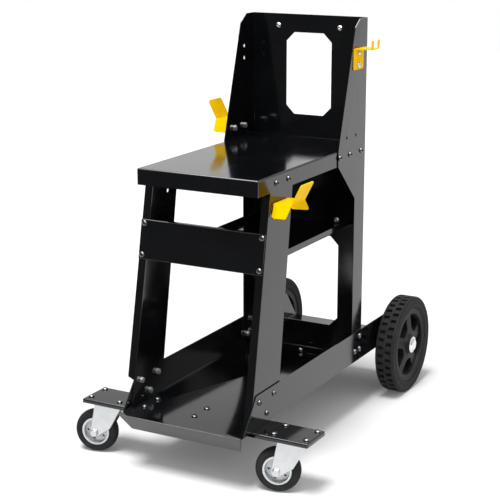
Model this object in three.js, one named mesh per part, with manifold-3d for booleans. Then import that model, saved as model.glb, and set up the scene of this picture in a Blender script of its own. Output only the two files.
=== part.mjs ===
import * as THREE from 'three';
import { mergeVertices } from 'three/addons/utils/BufferGeometryUtils.js';
import Module from 'manifold-3d';

// Welding cart in millimetres, +Z up, front toward -Y, right toward +X.
// Every Y below is measured back from the front edge of the bottom tray.

const wasm = await Module();
wasm.setup();

// Sheet steel and fits
const SHEET = 1.5;
const GAP = 0.3;
const HOLE_CLEARANCE = 0.3;
const OVERCUT = 1;
const MERGE_TOLERANCE = 1e-4;

// Round facets
const BOLT_FACETS = 10;
const WHEEL_FACETS = 36;
const TYRE_FACETS = 54;

// Screws with nuts
const SCREW_RADIUS = 3;
const SCREW_HEAD_RADIUS = 5;
const SCREW_HEAD_HEIGHT = 3.2;
const NUT_RADIUS = 5.2;
const NUT_HEIGHT = 5;
const SCREW_HEAD_TAPER = 0.82;
const SCREW_HEAD_SHOULDER = 0.7;

// Casters
const CASTER_HEIGHT = 97.7;
const CASTER_WHEEL_RADIUS = 37.5;
const CASTER_TYRE_WIDTH = 24;
const CASTER_TYRE_SIDE = 8;
const CASTER_TYRE_SHOULDER = 2.2;
const CASTER_TYRE_SHOULDER_DROP = 3.6;
const CASTER_TYRE_TREAD_EDGE = 6;
const CASTER_TYRE_TREAD_DROP = 1.1;
const CASTER_TYRE_CROWN = 10;
const CASTER_TYRE_BEAD = 1;
const CASTER_RIM_RADIUS = 24.5;
const CASTER_RIM_WIDTH = 20;
const CASTER_RIM_DISH = 5;
const CASTER_RIM_EDGE = 2;
const CASTER_HUB_FLARE = 1;
const CASTER_HUB_RADIUS = 10;
const CASTER_AXLE_RADIUS = 4;
const CASTER_AXLE_HEAD_RADIUS = 7;
const CASTER_AXLE_HEAD_HEIGHT = 4;
const CASTER_AXLE_HEAD_TAPER = 0.8;
const CASTER_PLATE_LENGTH = 69;
const CASTER_PLATE_WIDTH = 58;
const CASTER_PLATE_THICKNESS = 2.5;
const RACE_RADIUS = 21;
const RACE_HEIGHT = 5;
const KINGPIN_RADIUS = 5;
const KINGPIN_HEAD_RADIUS = 10;
const KINGPIN_HEAD_HEIGHT = 3;
const FORK_SHEET = 2.5;
const FORK_SIDE_CLEARANCE = 1.5;
const FORK_TOP_FRONT = 25;
const FORK_TOP_BACK = 25;
const FORK_EYE_RADIUS = 8.5;
const FORK_KNEE_AHEAD = 28;
const FORK_KNEE_RISE = 8.5;
const FORK_EYE_STEPS = 6;
const FORK_EYE_SWEEP = 2.1;
const CASTER_TRAIL = 26.8;
const CASTER_REST_TURN = 0.239;
const CASTER_SPACING = 349;

// Caster bar, an upturned shallow pan
const BAR_SHEET = 2;
const BAR_END_CLEARANCE = 1;
const BAR_SIDE_CLEARANCE = 1.5;
const BAR_EDGE = 7;
const BAR_SETBACK = 37;

// Bottom tray
const TRAY_LENGTH = 640;
const TRAY_WALL_HEIGHT = 55.7;
const TRAY_WALL_SETBACK = 11.6;
const TRAY_WALL_SLANT = 43;
const LIP_BACK = 22;
const LIP_DROP = 30;
const LIP_END_INSET = 12;
const TRAY_REAR_EDGE = 16;
const LIP_OVERLAP = 0.9;

// Rear panel, a tall U folded from one sheet
const UPRIGHT_WIDTH = 224.2;
const UPRIGHT_RISE = 218.4;
const WEB_FRONT = 457.6;
const FLANGE_TOP_DEPTH = 28;
const FLANGE_CHAMFER_DEPTH = 48;
const FLANGE_CHAMFER_DROP = 14.3;
const FLANGE_SHELF_DEPTH = 109;
const FLANGE_LOW_DEPTH = 39.5;
const FLANGE_GUSSET_DROP = 66.6;
const FOOT_FLANGE = 30;
const UPPER_WINDOW_TOP_MARGIN = 32;
const UPPER_WINDOW_SILL = 40.2;
const UPPER_WINDOW_WIDTH = 89;
const LOWER_WINDOW_TOP_MARGIN = 23.5;
const LOWER_WINDOW_SILL = 51;
const LOWER_WINDOW_WIDTH = 127;
const WINDOW_CHAMFER = 15.5;
const ANCHOR_SPACING = 121;
const ANCHOR_DROP = 21;

// Top shelf
const SHELF_TOP = 500.6;
const SHELF_SKIRT = 27;
const SHELF_SETBACK = 63;

// Front legs, angles leaning back toward the top, both with the front flange toward the left
const LEG_WIDTH_TOP = 76.5;
const LEG_WIDTH_BOTTOM = 91;
const LEG_FOOT_SETBACK = 36.5;
const LEG_LEAN = 0.188;
const LEG_FRONT_FLANGE = 13.5;
const LEG_FLANGE_CLEARANCE = 1;
const LEG_FLANGE_SLANT = 5;
const LEG_SPARE_HOLE_SETBACK = 52;
const LEG_SPARE_HOLE_RISE = 6.7;
const LEG_TOP_CLEARANCE = 1;

// Front panel
const PANEL_DROP = 90.6;
const PANEL_HEIGHT = 64.5;
const PANEL_TOP_LIP = 8;
const PANEL_BOTTOM_LIP = 14;
const PANEL_LIP_CLEARANCE = 1;
const PANEL_SCREW_INSET = 6;
const PANEL_NUT_CLEARANCE = 1.8;
const PANEL_SCREW_TOP_EDGE = 6;
const PANEL_SCREW_BOTTOM_EDGE = 7.5;

// Middle shelf
const MIDDLE_SIDE_CLEARANCE = 4.5;
const MIDDLE_EDGE = 10.5;
const MIDDLE_FRONT_CLEARANCE = 4;

// Rear wheels and axle
const AXLE_FROM_TRAY_END = 44.5;
const AXLE_RADIUS = 6;
const AXLE_END = 3;
const REAR_WHEEL_RADIUS = 92;
const REAR_TYRE_WIDTH = 37;
const REAR_TYRE_CROWN = 1.5;
const REAR_TYRE_SIDE = 5;
const REAR_TYRE_SHOULDER = 1.5;
const REAR_TYRE_TREAD_EDGE = 5;
const REAR_RIM_RADIUS = 70;
const REAR_RIM_INNER = 59;
const REAR_RIM_WIDTH = 33;
const SPOKE_COUNT = 5;
const SPOKE_WIDTH = 19;
const SPOKE_ROOT_RADIUS = 27;
const SPOKE_THICKNESS = 20;
const REAR_HUB_RADIUS = 20;
const REAR_HUB_WIDTH = 38;
const REAR_HUB_WALL_GAP = 6;
const CAP_RADIUS = 15.5;
const CAP_HEIGHT = 6;
const CAP_RIM = 1.5;
const CAP_SHOULDER_HEIGHT = 4;
const CAP_SHOULDER = 0.75;
const CAP_CROWN = 0.4;
const CAP_CROWN_RISE = 0.5;
const BRACKET_SHEET = 3;
const BRACKET_DEPTH = 70;
const BRACKET_TAB = 32;
const BRACKET_DROP = 22;
const BRACKET_FOOT_SHARE = 1 / 3;
const BRACKET_AXLE_ROOM = 9;

// Cable hooks
const HOOK_SHEET = 2;
const HOOK_WIDTH = 48;
const HOOK_STEM = 32;
const HOOK_BASE = 26;
const HOOK_SCREW_DROP = 15;
const HOOK_SCREW_SPACING = 37;
const HOOK_HORN_OUT = 17.5;
const HOOK_HORN_RISE = 31;
const HOOK_HORN_INSET = 2;
const HOOK_TAIL_LENGTH = 17.5;
const HOOK_TAIL_FRONT_LENGTH = 6;
const HOOK_TAIL_LEAN = 0.46;
const HOOK_FLAP_LENGTH = 24;
const HOOK_FLAP_LEAN = 0.44;
const HOOK_FLAP_TAPER = 5;
const HOOK_ABOVE_SHELF = 33.4;
const HOOK_BELOW_SKIRT = 17.6;
const HOOK_FROM_WEB = 57.6;
const HOOK_FROM_LEG_FRONT = 37;

// Torch holder
const TORCH_DROP = 49;
const TORCH_HEIGHT = 37;
const TORCH_WIDTH = 39;
const TORCH_FROM_WEB = 36.1;
const TORCH_TONGUE = 33;
const TORCH_TONGUE_END = 32;
const TORCH_PRONG_HEIGHT = 14;
const TORCH_PRONG_WIDTH = 7;
const TORCH_SCREW_SPACING = 21.5;

// Screw places: back from the leg front and down from the shelf top,
// back from the leg foot and up the tray wall, forward from the web and up the tray wall
const SKIRT_SCREW_PLACES = [[15.8, 14.1], [57.3, 14.1]];
const WALL_FRONT_SCREW_PLACES = [[76.4, 42.2], [26.6, 42.2], [51.5, 16.7]];
const WALL_REAR_SCREW_PLACES = [[9.6, 44.7], [9.6, 19.7], [29.1, 19.7]];

// Levels and faces that follow from the sizes above
const BAR_LENGTH = CASTER_SPACING + CASTER_PLATE_LENGTH + 2 * (BAR_SHEET + BAR_END_CLEARANCE);
const BAR_DEPTH = CASTER_PLATE_WIDTH + 2 * (BAR_SHEET + BAR_SIDE_CLEARANCE);
const BAR_UNDER = CASTER_HEIGHT + GAP;
const BAR_TOP = BAR_UNDER + BAR_SHEET;
const TRAY_UNDER = BAR_TOP + GAP;
const TRAY_FLOOR = TRAY_UNDER + SHEET;
const TRAY_WALL_TOP = TRAY_UNDER + TRAY_WALL_HEIGHT;
const UPRIGHT_TOP = SHELF_TOP + UPRIGHT_RISE;
const UPRIGHT_HALF = UPRIGHT_WIDTH / 2;
const TRAY_INNER = UPRIGHT_HALF + GAP;
const TRAY_HALF = TRAY_INNER + SHEET;
const SHELF_HALF = UPRIGHT_HALF - SHEET - GAP;
const SHELF_BACK = WEB_FRONT - GAP;
const SHELF_UNDER = SHELF_TOP - SHEET;
const SKIRT_BOTTOM = SHELF_TOP - SHELF_SKIRT;
const FLANGE_GUSSET_FOOT = SKIRT_BOTTOM - FLANGE_GUSSET_DROP;
const LEG_OUTER_TOP = SHELF_HALF - SHEET - GAP;
const LEG_OUTER_FOOT = TRAY_INNER - GAP;
const LEG_TOP = SHELF_UNDER - LEG_TOP_CLEARANCE;
const LEG_FOOT = TRAY_FLOOR + GAP;
const SKIRT_SCREWS = SKIRT_SCREW_PLACES.map(([back, down]) => {
  const height = SHELF_TOP - down;
  return [legFront(height) + back, height];
});
const WALL_FRONT_SCREWS = WALL_FRONT_SCREW_PLACES.map(
  ([back, up]) => [LEG_FOOT_SETBACK + back, TRAY_UNDER + up],
);
const WALL_REAR_SCREWS = WALL_REAR_SCREW_PLACES.map(
  ([ahead, up]) => [WEB_FRONT - ahead, TRAY_UNDER + up],
);
const LEG_PIVOT = SKIRT_SCREWS[0][1];
const LEG_SPLAY = Math.atan((LEG_OUTER_FOOT - LEG_OUTER_TOP) / (LEG_PIVOT - WALL_FRONT_SCREWS[2][1]));
const PANEL_HALF = LEG_OUTER_TOP;
const PANEL_LIP_HALF = PANEL_HALF - LEG_FRONT_FLANGE - PANEL_LIP_CLEARANCE;
const PANEL_TOP = SHELF_TOP - PANEL_DROP;
const PANEL_BOTTOM = PANEL_TOP - PANEL_HEIGHT;
const PANEL_SCREW_HEIGHTS = [PANEL_TOP - PANEL_SCREW_TOP_EDGE, PANEL_BOTTOM + PANEL_SCREW_BOTTOM_EDGE];
const PANEL_SCREW_OFFSET = PANEL_HALF - PANEL_SCREW_INSET;
const PANEL_SCREW_LEFT = LEG_OUTER_TOP + NUT_RADIUS + PANEL_NUT_CLEARANCE;
const PANEL_LEFT = PANEL_SCREW_LEFT + PANEL_SCREW_INSET;
const PANEL_LIP_LEFT = LEG_OUTER_TOP - SHEET - PANEL_LIP_CLEARANCE;
const UPPER_WINDOW_TOP = UPRIGHT_TOP - UPPER_WINDOW_TOP_MARGIN;
const UPPER_WINDOW_BOTTOM = SHELF_TOP + UPPER_WINDOW_SILL;
const LOWER_WINDOW_TOP = PANEL_BOTTOM - LOWER_WINDOW_TOP_MARGIN;
const LOWER_WINDOW_BOTTOM = TRAY_FLOOR + LOWER_WINDOW_SILL;
const MIDDLE_HALF = PANEL_HALF - LEG_FRONT_FLANGE - MIDDLE_SIDE_CLEARANCE;
const MIDDLE_UNDER = PANEL_BOTTOM + SHEET + GAP;
const MIDDLE_FLOOR = MIDDLE_UNDER + SHEET;
const MIDDLE_TOP = MIDDLE_UNDER + SHEET + MIDDLE_EDGE;
const AXLE_SETBACK = TRAY_LENGTH - AXLE_FROM_TRAY_END;
const AXLE_HEIGHT = REAR_WHEEL_RADIUS;
const WHEEL_INNER = TRAY_HALF + REAR_HUB_WALL_GAP;
const WHEEL_MIDDLE = WHEEL_INNER + REAR_TYRE_WIDTH / 2;
const HUB_OUTER = WHEEL_MIDDLE + REAR_HUB_WIDTH / 2;
const HOOK_STEM_HEIGHT_LEFT = SHELF_TOP + HOOK_ABOVE_SHELF;
const HOOK_STEM_HEIGHT_RIGHT = SKIRT_BOTTOM - HOOK_BELOW_SKIRT;
const HOOK_SETBACK_LEFT = WEB_FRONT - HOOK_FROM_WEB;
const HOOK_SETBACK_RIGHT = legFront(HOOK_STEM_HEIGHT_RIGHT) + HOOK_FROM_LEG_FRONT;
const TORCH_TOP = UPRIGHT_TOP - TORCH_DROP;
const TORCH_SETBACK = WEB_FRONT - TORCH_FROM_WEB;

// Setback of the leg's front face at one height
function legFront(height) {
  return LEG_FOOT_SETBACK + LEG_LEAN * (height - TRAY_FLOOR);
}

// Paint, steel and rubber
function finish(colour, roughness, metalness) {
  return new THREE.MeshStandardMaterial({ color: colour, roughness, metalness });
}
const BLACK_PAINT = finish(0x17181b, 0.28, 0.3);
const YELLOW_PAINT = finish(0xf6c915, 0.4, 0.0);
const ZINC = finish(0xd5d8d8, 0.35, 0.9);
const TYRE_RUBBER = finish(0x2a2a2b, 0.85, 0.0);
const HUB_PLASTIC = finish(0x323334, 0.6, 0.0);
const AXLE_STEEL = finish(0x9a9c9e, 0.4, 0.9);

// Turns a three.js geometry into a solid for joining and cutting
function solid(geometry) {
  geometry.deleteAttribute('normal');
  geometry.deleteAttribute('uv');
  const merged = mergeVertices(geometry, MERGE_TOLERANCE);
  const vertProperties = new Float32Array(merged.attributes.position.array);
  const triVerts = new Uint32Array(merged.index.array);
  return new wasm.Manifold(new wasm.Mesh({ numProp: 3, vertProperties, triVerts }));
}

// Turns a solid back into three.js geometry
function geometryOf(body) {
  const data = body.getMesh();
  const geometry = new THREE.BufferGeometry();
  geometry.setAttribute('position', new THREE.BufferAttribute(new Float32Array(data.vertProperties), 3));
  geometry.setIndex(new THREE.BufferAttribute(new Uint32Array(data.triVerts), 1));
  geometry.computeVertexNormals();
  return geometry;
}

function join(bodies) {
  return bodies.reduce((whole, body) => whole.add(body));
}

function cut(body, tools) {
  return tools.reduce((rest, tool) => rest.subtract(tool), body);
}

function outline(points) {
  return new THREE.Shape(points.map(([a, b]) => new THREE.Vector2(a, b)));
}

// Plate whose outline lies in Y and Z, from xLow to xHigh
function plateAcrossX(points, xLow, xHigh) {
  const geometry = new THREE.ExtrudeGeometry(outline(points), { depth: xHigh - xLow, bevelEnabled: false });
  const turn = new THREE.Matrix4().makeBasis(
    new THREE.Vector3(0, 1, 0),
    new THREE.Vector3(0, 0, 1),
    new THREE.Vector3(1, 0, 0),
  );
  geometry.applyMatrix4(turn);
  geometry.translate(xLow, 0, 0);
  return solid(geometry);
}

// Plate whose outline lies in X and Z, from yLow to yHigh
function plateAcrossY(points, yLow, yHigh) {
  const geometry = new THREE.ExtrudeGeometry(outline(points), { depth: yHigh - yLow, bevelEnabled: false });
  geometry.rotateX(Math.PI / 2);
  geometry.translate(0, yHigh, 0);
  return solid(geometry);
}

// Plate whose outline lies in X and Y, from zLow to zHigh
function plateAcrossZ(points, zLow, zHigh) {
  const geometry = new THREE.ExtrudeGeometry(outline(points), { depth: zHigh - zLow, bevelEnabled: false });
  geometry.translate(0, 0, zLow);
  return solid(geometry);
}

function block(xLow, xHigh, yLow, yHigh, zLow, zHigh) {
  const geometry = new THREE.BoxGeometry(xHigh - xLow, yHigh - yLow, zHigh - zLow);
  geometry.translate((xLow + xHigh) / 2, (yLow + yHigh) / 2, (zLow + zHigh) / 2);
  return solid(geometry);
}

// Outline of a strip of given thickness lying to the left of the line from start to end
function strip(start, end, thickness) {
  const length = Math.hypot(end[0] - start[0], end[1] - start[1]);
  const aside = [-(end[1] - start[1]) / length * thickness, (end[0] - start[0]) / length * thickness];
  return [
    start,
    end,
    [end[0] + aside[0], end[1] + aside[1]],
    [start[0] + aside[0], start[1] + aside[1]],
  ];
}

// Solid of revolution about X through the origin, from [radius, x] points
function turnedAboutX(profile, facets) {
  const geometry = new THREE.LatheGeometry(profile.map(([r, x]) => new THREE.Vector2(r, x)), facets);
  geometry.rotateZ(-Math.PI / 2);
  return solid(geometry);
}

// Solid of revolution about Z through the origin, from [radius, z] points
function turnedAboutZ(profile, facets) {
  const geometry = new THREE.LatheGeometry(profile.map(([r, z]) => new THREE.Vector2(r, z)), facets);
  geometry.rotateX(Math.PI / 2);
  return solid(geometry);
}

// Drill along X at one setback and height
function drillX(xLow, xHigh, setback, height, radius) {
  const geometry = new THREE.CylinderGeometry(radius, radius, xHigh - xLow, BOLT_FACETS);
  geometry.rotateZ(Math.PI / 2);
  geometry.translate((xLow + xHigh) / 2, setback, height);
  return solid(geometry);
}

// Drill along Y at one side offset and height
function drillY(yLow, yHigh, offset, height, radius) {
  const geometry = new THREE.CylinderGeometry(radius, radius, yHigh - yLow, BOLT_FACETS);
  geometry.translate(offset, (yLow + yHigh) / 2, height);
  return solid(geometry);
}

const SCREW_HOLE = SCREW_RADIUS + HOLE_CLEARANCE;

// Button-head screw with its nut, head outward along +X, gripping from grip to 0
function screwProfile(grip) {
  return [
    [0, -grip - GAP - NUT_HEIGHT],
    [NUT_RADIUS, -grip - GAP - NUT_HEIGHT],
    [NUT_RADIUS, -grip - GAP],
    [SCREW_RADIUS, -grip - GAP],
    [SCREW_RADIUS, GAP],
    [SCREW_HEAD_RADIUS, GAP],
    [SCREW_HEAD_RADIUS * SCREW_HEAD_TAPER, GAP + SCREW_HEAD_HEIGHT * SCREW_HEAD_SHOULDER],
    [0, GAP + SCREW_HEAD_HEIGHT],
  ];
}

const cart = new THREE.Group();
cart.name = 'welding_cart';

function place(body, name, material, parent = cart) {
  const mesh = new THREE.Mesh(geometryOf(body), material);
  mesh.name = name;
  parent.add(mesh);
  return mesh;
}

// Screw facing +X or -X
function sideScrew(name, side, face, setback, height, grip, parent = cart) {
  const profile = screwProfile(grip);
  const screw = place(turnedAboutX(profile, BOLT_FACETS), name, ZINC, parent);
  screw.position.set(side * face, setback, height);
  screw.rotation.y = side > 0 ? 0 : Math.PI;
  return screw;
}

const SIDES = [['left', -1], ['right', 1]];

// Plate on one side of the cart, between two distances from the middle
function sidePlate(points, side, near, far) {
  return side > 0 ? plateAcrossX(points, near, far) : plateAcrossX(points, -far, -near);
}

// Bottom tray: floor, two side walls with slanted ends, sloping front lip and rear edge
function bottomTray() {
  const wall = [
    [TRAY_WALL_SETBACK, TRAY_UNDER],
    [TRAY_LENGTH, TRAY_UNDER],
    [TRAY_LENGTH - TRAY_WALL_SLANT, TRAY_WALL_TOP],
    [TRAY_WALL_SETBACK + TRAY_WALL_SLANT, TRAY_WALL_TOP],
  ];
  const slope = Math.hypot(LIP_BACK, LIP_DROP);
  const lipFold = SHEET * slope / LIP_DROP;
  const lipFoot = [SHEET * LIP_DROP / slope, SHEET * LIP_BACK / slope];
  const lip = [
    [0, TRAY_FLOOR],
    [LIP_BACK, TRAY_FLOOR - LIP_DROP],
    [LIP_BACK + lipFoot[0], TRAY_FLOOR - LIP_DROP + lipFoot[1]],
    [lipFold, TRAY_FLOOR],
  ];
  const lipRoom = LIP_BACK + lipFoot[0] + OVERCUT;
  const lipDown = TRAY_FLOOR - LIP_DROP - OVERCUT;
  const lipEnds = SIDES.map(([, side]) => {
    const corner = [
      [side * TRAY_HALF, TRAY_UNDER],
      [side * (TRAY_HALF + OVERCUT), TRAY_UNDER],
      [side * (TRAY_HALF + OVERCUT), lipDown],
      [side * (TRAY_HALF - LIP_END_INSET), lipDown],
    ];
    return plateAcrossY(side > 0 ? corner.reverse() : corner, -OVERCUT, lipRoom);
  });
  const bodies = [
    block(-TRAY_HALF, TRAY_HALF, lipFold * LIP_OVERLAP, TRAY_LENGTH, TRAY_UNDER, TRAY_FLOOR),
    cut(plateAcrossX(lip, -TRAY_HALF, TRAY_HALF), lipEnds),
    block(-TRAY_HALF, TRAY_HALF, TRAY_LENGTH - SHEET, TRAY_LENGTH, TRAY_FLOOR - TRAY_REAR_EDGE, TRAY_FLOOR),
  ];
  const holes = [];
  for (const [, side] of SIDES) {
    bodies.push(sidePlate(wall, side, TRAY_INNER, TRAY_HALF));
    for (const [setback, height] of [...WALL_FRONT_SCREWS, ...WALL_REAR_SCREWS]) {
      const middle = side * (TRAY_INNER + SHEET / 2);
      holes.push(drillX(middle - SHEET - OVERCUT, middle + SHEET + OVERCUT, setback, height, SCREW_HOLE));
    }
  }
  return cut(join(bodies), holes);
}
place(bottomTray(), 'bottom_tray', BLACK_PAINT);

// Window outline with cut corners
function window8(width, bottom, top) {
  const half = width / 2;
  const near = half - WINDOW_CHAMFER;
  return [
    [-near, bottom],
    [near, bottom],
    [half, bottom + WINDOW_CHAMFER],
    [half, top - WINDOW_CHAMFER],
    [near, top],
    [-near, top],
    [-half, top - WINDOW_CHAMFER],
    [-half, bottom + WINDOW_CHAMFER],
  ];
}

// Rear panel: web with two windows, tapering side flanges with gussets, foot flange on the tray floor.
// Both flanges have the hook and torch holder holes, so that either can go on either side.
const WEB_BACK = WEB_FRONT + SHEET;
const PANEL_FOOT = TRAY_FLOOR + GAP;
function rearPanel() {
  const flange = [
    [WEB_FRONT - FLANGE_LOW_DEPTH, PANEL_FOOT],
    [WEB_BACK, PANEL_FOOT],
    [WEB_BACK, UPRIGHT_TOP],
    [WEB_FRONT - FLANGE_TOP_DEPTH, UPRIGHT_TOP],
    [WEB_FRONT - FLANGE_CHAMFER_DEPTH, UPRIGHT_TOP - FLANGE_CHAMFER_DROP],
    [WEB_FRONT - FLANGE_SHELF_DEPTH, SHELF_TOP],
    [WEB_FRONT - FLANGE_SHELF_DEPTH, SKIRT_BOTTOM],
    [WEB_FRONT - FLANGE_LOW_DEPTH, FLANGE_GUSSET_FOOT],
  ];
  const inner = UPRIGHT_HALF - SHEET;
  const web = block(-UPRIGHT_HALF, UPRIGHT_HALF, WEB_FRONT, WEB_BACK, PANEL_FOOT, UPRIGHT_TOP);
  const footHalf = inner - GAP;
  const foot = block(-footHalf, footHalf, WEB_FRONT - FOOT_FLANGE, WEB_BACK, PANEL_FOOT, PANEL_FOOT + SHEET);
  const upper = window8(UPPER_WINDOW_WIDTH, UPPER_WINDOW_BOTTOM, UPPER_WINDOW_TOP);
  const lower = window8(LOWER_WINDOW_WIDTH, LOWER_WINDOW_BOTTOM, LOWER_WINDOW_TOP);
  const holes = [
    plateAcrossY(upper, WEB_FRONT - OVERCUT, WEB_BACK + OVERCUT),
    plateAcrossY(lower, WEB_FRONT - OVERCUT, WEB_BACK + OVERCUT),
  ];
  const bodies = [web, foot];
  for (const [, side] of SIDES) {
    bodies.push(sidePlate(flange, side, inner, UPRIGHT_HALF));
    const anchorHeight = UPRIGHT_TOP - ANCHOR_DROP;
    const anchorOffset = side * ANCHOR_SPACING / 2;
    holes.push(drillY(WEB_FRONT - OVERCUT, WEB_BACK + OVERCUT, anchorOffset, anchorHeight, SCREW_HOLE));
    const hookHeight = HOOK_STEM_HEIGHT_LEFT - HOOK_SCREW_DROP;
    const torchMiddle = TORCH_TOP - TORCH_HEIGHT / 2;
    const screws = [
      ...WALL_REAR_SCREWS,
      [HOOK_SETBACK_LEFT - HOOK_SCREW_SPACING / 2, hookHeight],
      [HOOK_SETBACK_LEFT + HOOK_SCREW_SPACING / 2, hookHeight],
      [TORCH_SETBACK, torchMiddle - TORCH_SCREW_SPACING / 2],
      [TORCH_SETBACK, torchMiddle + TORCH_SCREW_SPACING / 2],
    ];
    const middle = side * (UPRIGHT_HALF - SHEET / 2);
    for (const [setback, height] of screws) {
      holes.push(drillX(middle - SHEET - OVERCUT, middle + SHEET + OVERCUT, setback, height, SCREW_HOLE));
    }
  }
  return cut(join(bodies), holes);
}
place(rearPanel(), 'rear_panel', BLACK_PAINT);

// Top shelf: flat top with a skirt all round
function topShelf() {
  const whole = block(-SHELF_HALF, SHELF_HALF, SHELF_SETBACK, SHELF_BACK, SKIRT_BOTTOM, SHELF_TOP);
  const inside = SHELF_HALF - SHEET;
  const hollow = block(
    -inside,
    inside,
    SHELF_SETBACK + SHEET,
    SHELF_BACK - SHEET,
    SKIRT_BOTTOM - OVERCUT,
    SHELF_UNDER,
  );
  const holes = [hollow];
  for (const [, side] of SIDES) {
    const middle = side * (SHELF_HALF - SHEET / 2);
    for (const [setback, height] of SKIRT_SCREWS) {
      holes.push(drillX(middle - SHEET - OVERCUT, middle + SHEET + OVERCUT, setback, height, SCREW_HOLE));
    }
  }
  return cut(whole, holes);
}
place(topShelf(), 'top_shelf', BLACK_PAINT);

// Front leg: angle with a wide side flange and a narrow front flange.
// Its group is splayed so that it lies inside the shelf skirt above and inside the tray wall below.
function frontLeg(side) {
  const sideFlange = [
    [legFront(LEG_FOOT), LEG_FOOT],
    [legFront(LEG_FOOT) + LEG_WIDTH_BOTTOM, LEG_FOOT],
    [legFront(LEG_TOP) + LEG_WIDTH_TOP, LEG_TOP],
    [legFront(LEG_TOP), LEG_TOP],
  ];
  const thick = SHEET * Math.hypot(1, LEG_LEAN);
  const inward = side > 0;
  // the left flange ends where the slanted end of the tray wall comes up to its back
  const wallSlope = TRAY_WALL_SLANT / TRAY_WALL_HEIGHT;
  const wallRoom = legFront(TRAY_UNDER) + thick + LEG_FLANGE_CLEARANCE - TRAY_WALL_SETBACK;
  const flangeFoot = inward ? LEG_FOOT : TRAY_UNDER + wallRoom / (wallSlope - LEG_LEAN);
  const flangeTop = inward ? LEG_TOP : SKIRT_BOTTOM - LEG_FLANGE_CLEARANCE;
  const frontFlange = [
    [legFront(flangeFoot), flangeFoot],
    [legFront(flangeFoot) + thick, flangeFoot],
    [legFront(flangeTop) + thick, flangeTop],
    [legFront(flangeTop), flangeTop],
  ];
  const outer = LEG_OUTER_TOP;
  const flangeLow = inward ? outer - LEG_FRONT_FLANGE : outer - SHEET;
  const flangeHigh = flangeLow + LEG_FRONT_FLANGE;
  const holes = [];
  const hookHeight = HOOK_STEM_HEIGHT_RIGHT - HOOK_SCREW_DROP;
  const screws = [...SKIRT_SCREWS, ...WALL_FRONT_SCREWS];
  if (inward) {
    screws.push([HOOK_SETBACK_RIGHT - HOOK_SCREW_SPACING / 2, hookHeight]);
    screws.push([HOOK_SETBACK_RIGHT + HOOK_SCREW_SPACING / 2, hookHeight]);
  } else {
    screws.push([legFront(hookHeight) + LEG_SPARE_HOLE_SETBACK, hookHeight + LEG_SPARE_HOLE_RISE]);
  }
  const middle = side * (outer - SHEET / 2);
  for (const [setback, height] of screws) {
    const radius = SCREW_HOLE + GAP;
    holes.push(drillX(middle - SHEET - OVERCUT, middle + SHEET + OVERCUT, setback, height, radius));
  }
  for (const height of PANEL_SCREW_HEIGHTS) {
    const place = inward ? PANEL_SCREW_OFFSET : PANEL_SCREW_LEFT;
    const offset = side * (place - (LEG_PIVOT - height) * Math.tan(LEG_SPLAY));
    const face = legFront(height);
    holes.push(drillY(face - SHEET - OVERCUT, face + SHEET * 2 + OVERCUT, offset, height, SCREW_HOLE + GAP));
  }
  const bodies = [
    sidePlate(sideFlange, side, outer - SHEET, outer),
    sidePlate(frontFlange, side, flangeLow, flangeHigh),
  ];
  if (!inward) {
    const slant = [
      [side * outer, flangeFoot],
      [side * (flangeHigh + OVERCUT), flangeFoot + LEG_FLANGE_SLANT],
      [side * (flangeHigh + OVERCUT), flangeFoot - OVERCUT],
      [side * outer, flangeFoot - OVERCUT],
    ];
    holes.push(plateAcrossY(slant, legFront(flangeFoot) - OVERCUT, legFront(flangeTop)));
  }
  const leg = cut(join(bodies), holes);
  return leg.translate([-side * outer, 0, -LEG_PIVOT]);
}
const legGroups = {};
for (const [word, side] of SIDES) {
  const group = new THREE.Group();
  group.name = `${word}_leg_group`;
  group.position.set(side * LEG_OUTER_TOP, 0, LEG_PIVOT);
  group.rotation.y = -side * LEG_SPLAY;
  cart.add(group);
  place(frontLeg(side), `front_leg_${word}`, BLACK_PAINT, group);
  legGroups[word] = group;
}

// Front panel: leaning cross plate in front of the legs with folded top and bottom lips
function frontPanel() {
  const thick = SHEET * Math.hypot(1, LEG_LEAN);
  const back = (height) => legFront(height) - GAP;
  const plate = [
    [back(PANEL_BOTTOM) - thick, PANEL_BOTTOM],
    [back(PANEL_BOTTOM), PANEL_BOTTOM],
    [back(PANEL_TOP), PANEL_TOP],
    [back(PANEL_TOP) - thick, PANEL_TOP],
  ];
  const topFace = back(PANEL_TOP) - thick;
  const bottomFace = back(PANEL_BOTTOM) - thick;
  const bodies = [
    plateAcrossX(plate, -PANEL_LEFT, PANEL_HALF),
    block(-PANEL_LIP_LEFT, PANEL_LIP_HALF, topFace, topFace + PANEL_TOP_LIP, PANEL_TOP - SHEET, PANEL_TOP),
    block(
      -PANEL_LIP_LEFT,
      PANEL_LIP_HALF,
      bottomFace + SHEET,
      bottomFace + PANEL_BOTTOM_LIP,
      PANEL_BOTTOM,
      PANEL_BOTTOM + SHEET,
    ),
  ];
  const holes = [];
  for (const [, side] of SIDES) {
    for (const height of PANEL_SCREW_HEIGHTS) {
      const face = back(height);
      const offset = side > 0 ? PANEL_SCREW_OFFSET : -PANEL_SCREW_LEFT;
      const radius = SCREW_HOLE + GAP;
      holes.push(drillY(face - SHEET * 2 - OVERCUT, face + SHEET + OVERCUT, offset, height, radius));
    }
  }
  return cut(join(bodies), holes);
}
place(frontPanel(), 'front_panel', BLACK_PAINT);

// Middle shelf: shallow tray resting on the front panel's lower lip, bolted to the rear web
function middleShelf() {
  const front = legFront(MIDDLE_TOP) + MIDDLE_FRONT_CLEARANCE;
  const whole = block(-MIDDLE_HALF, MIDDLE_HALF, front, SHELF_BACK, MIDDLE_UNDER, MIDDLE_TOP);
  const hollow = block(
    -MIDDLE_HALF + SHEET,
    MIDDLE_HALF - SHEET,
    front - OVERCUT,
    SHELF_BACK - SHEET,
    MIDDLE_FLOOR,
    MIDDLE_TOP + OVERCUT,
  );
  return cut(whole, [hollow]);
}
place(middleShelf(), 'middle_shelf', BLACK_PAINT);

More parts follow.
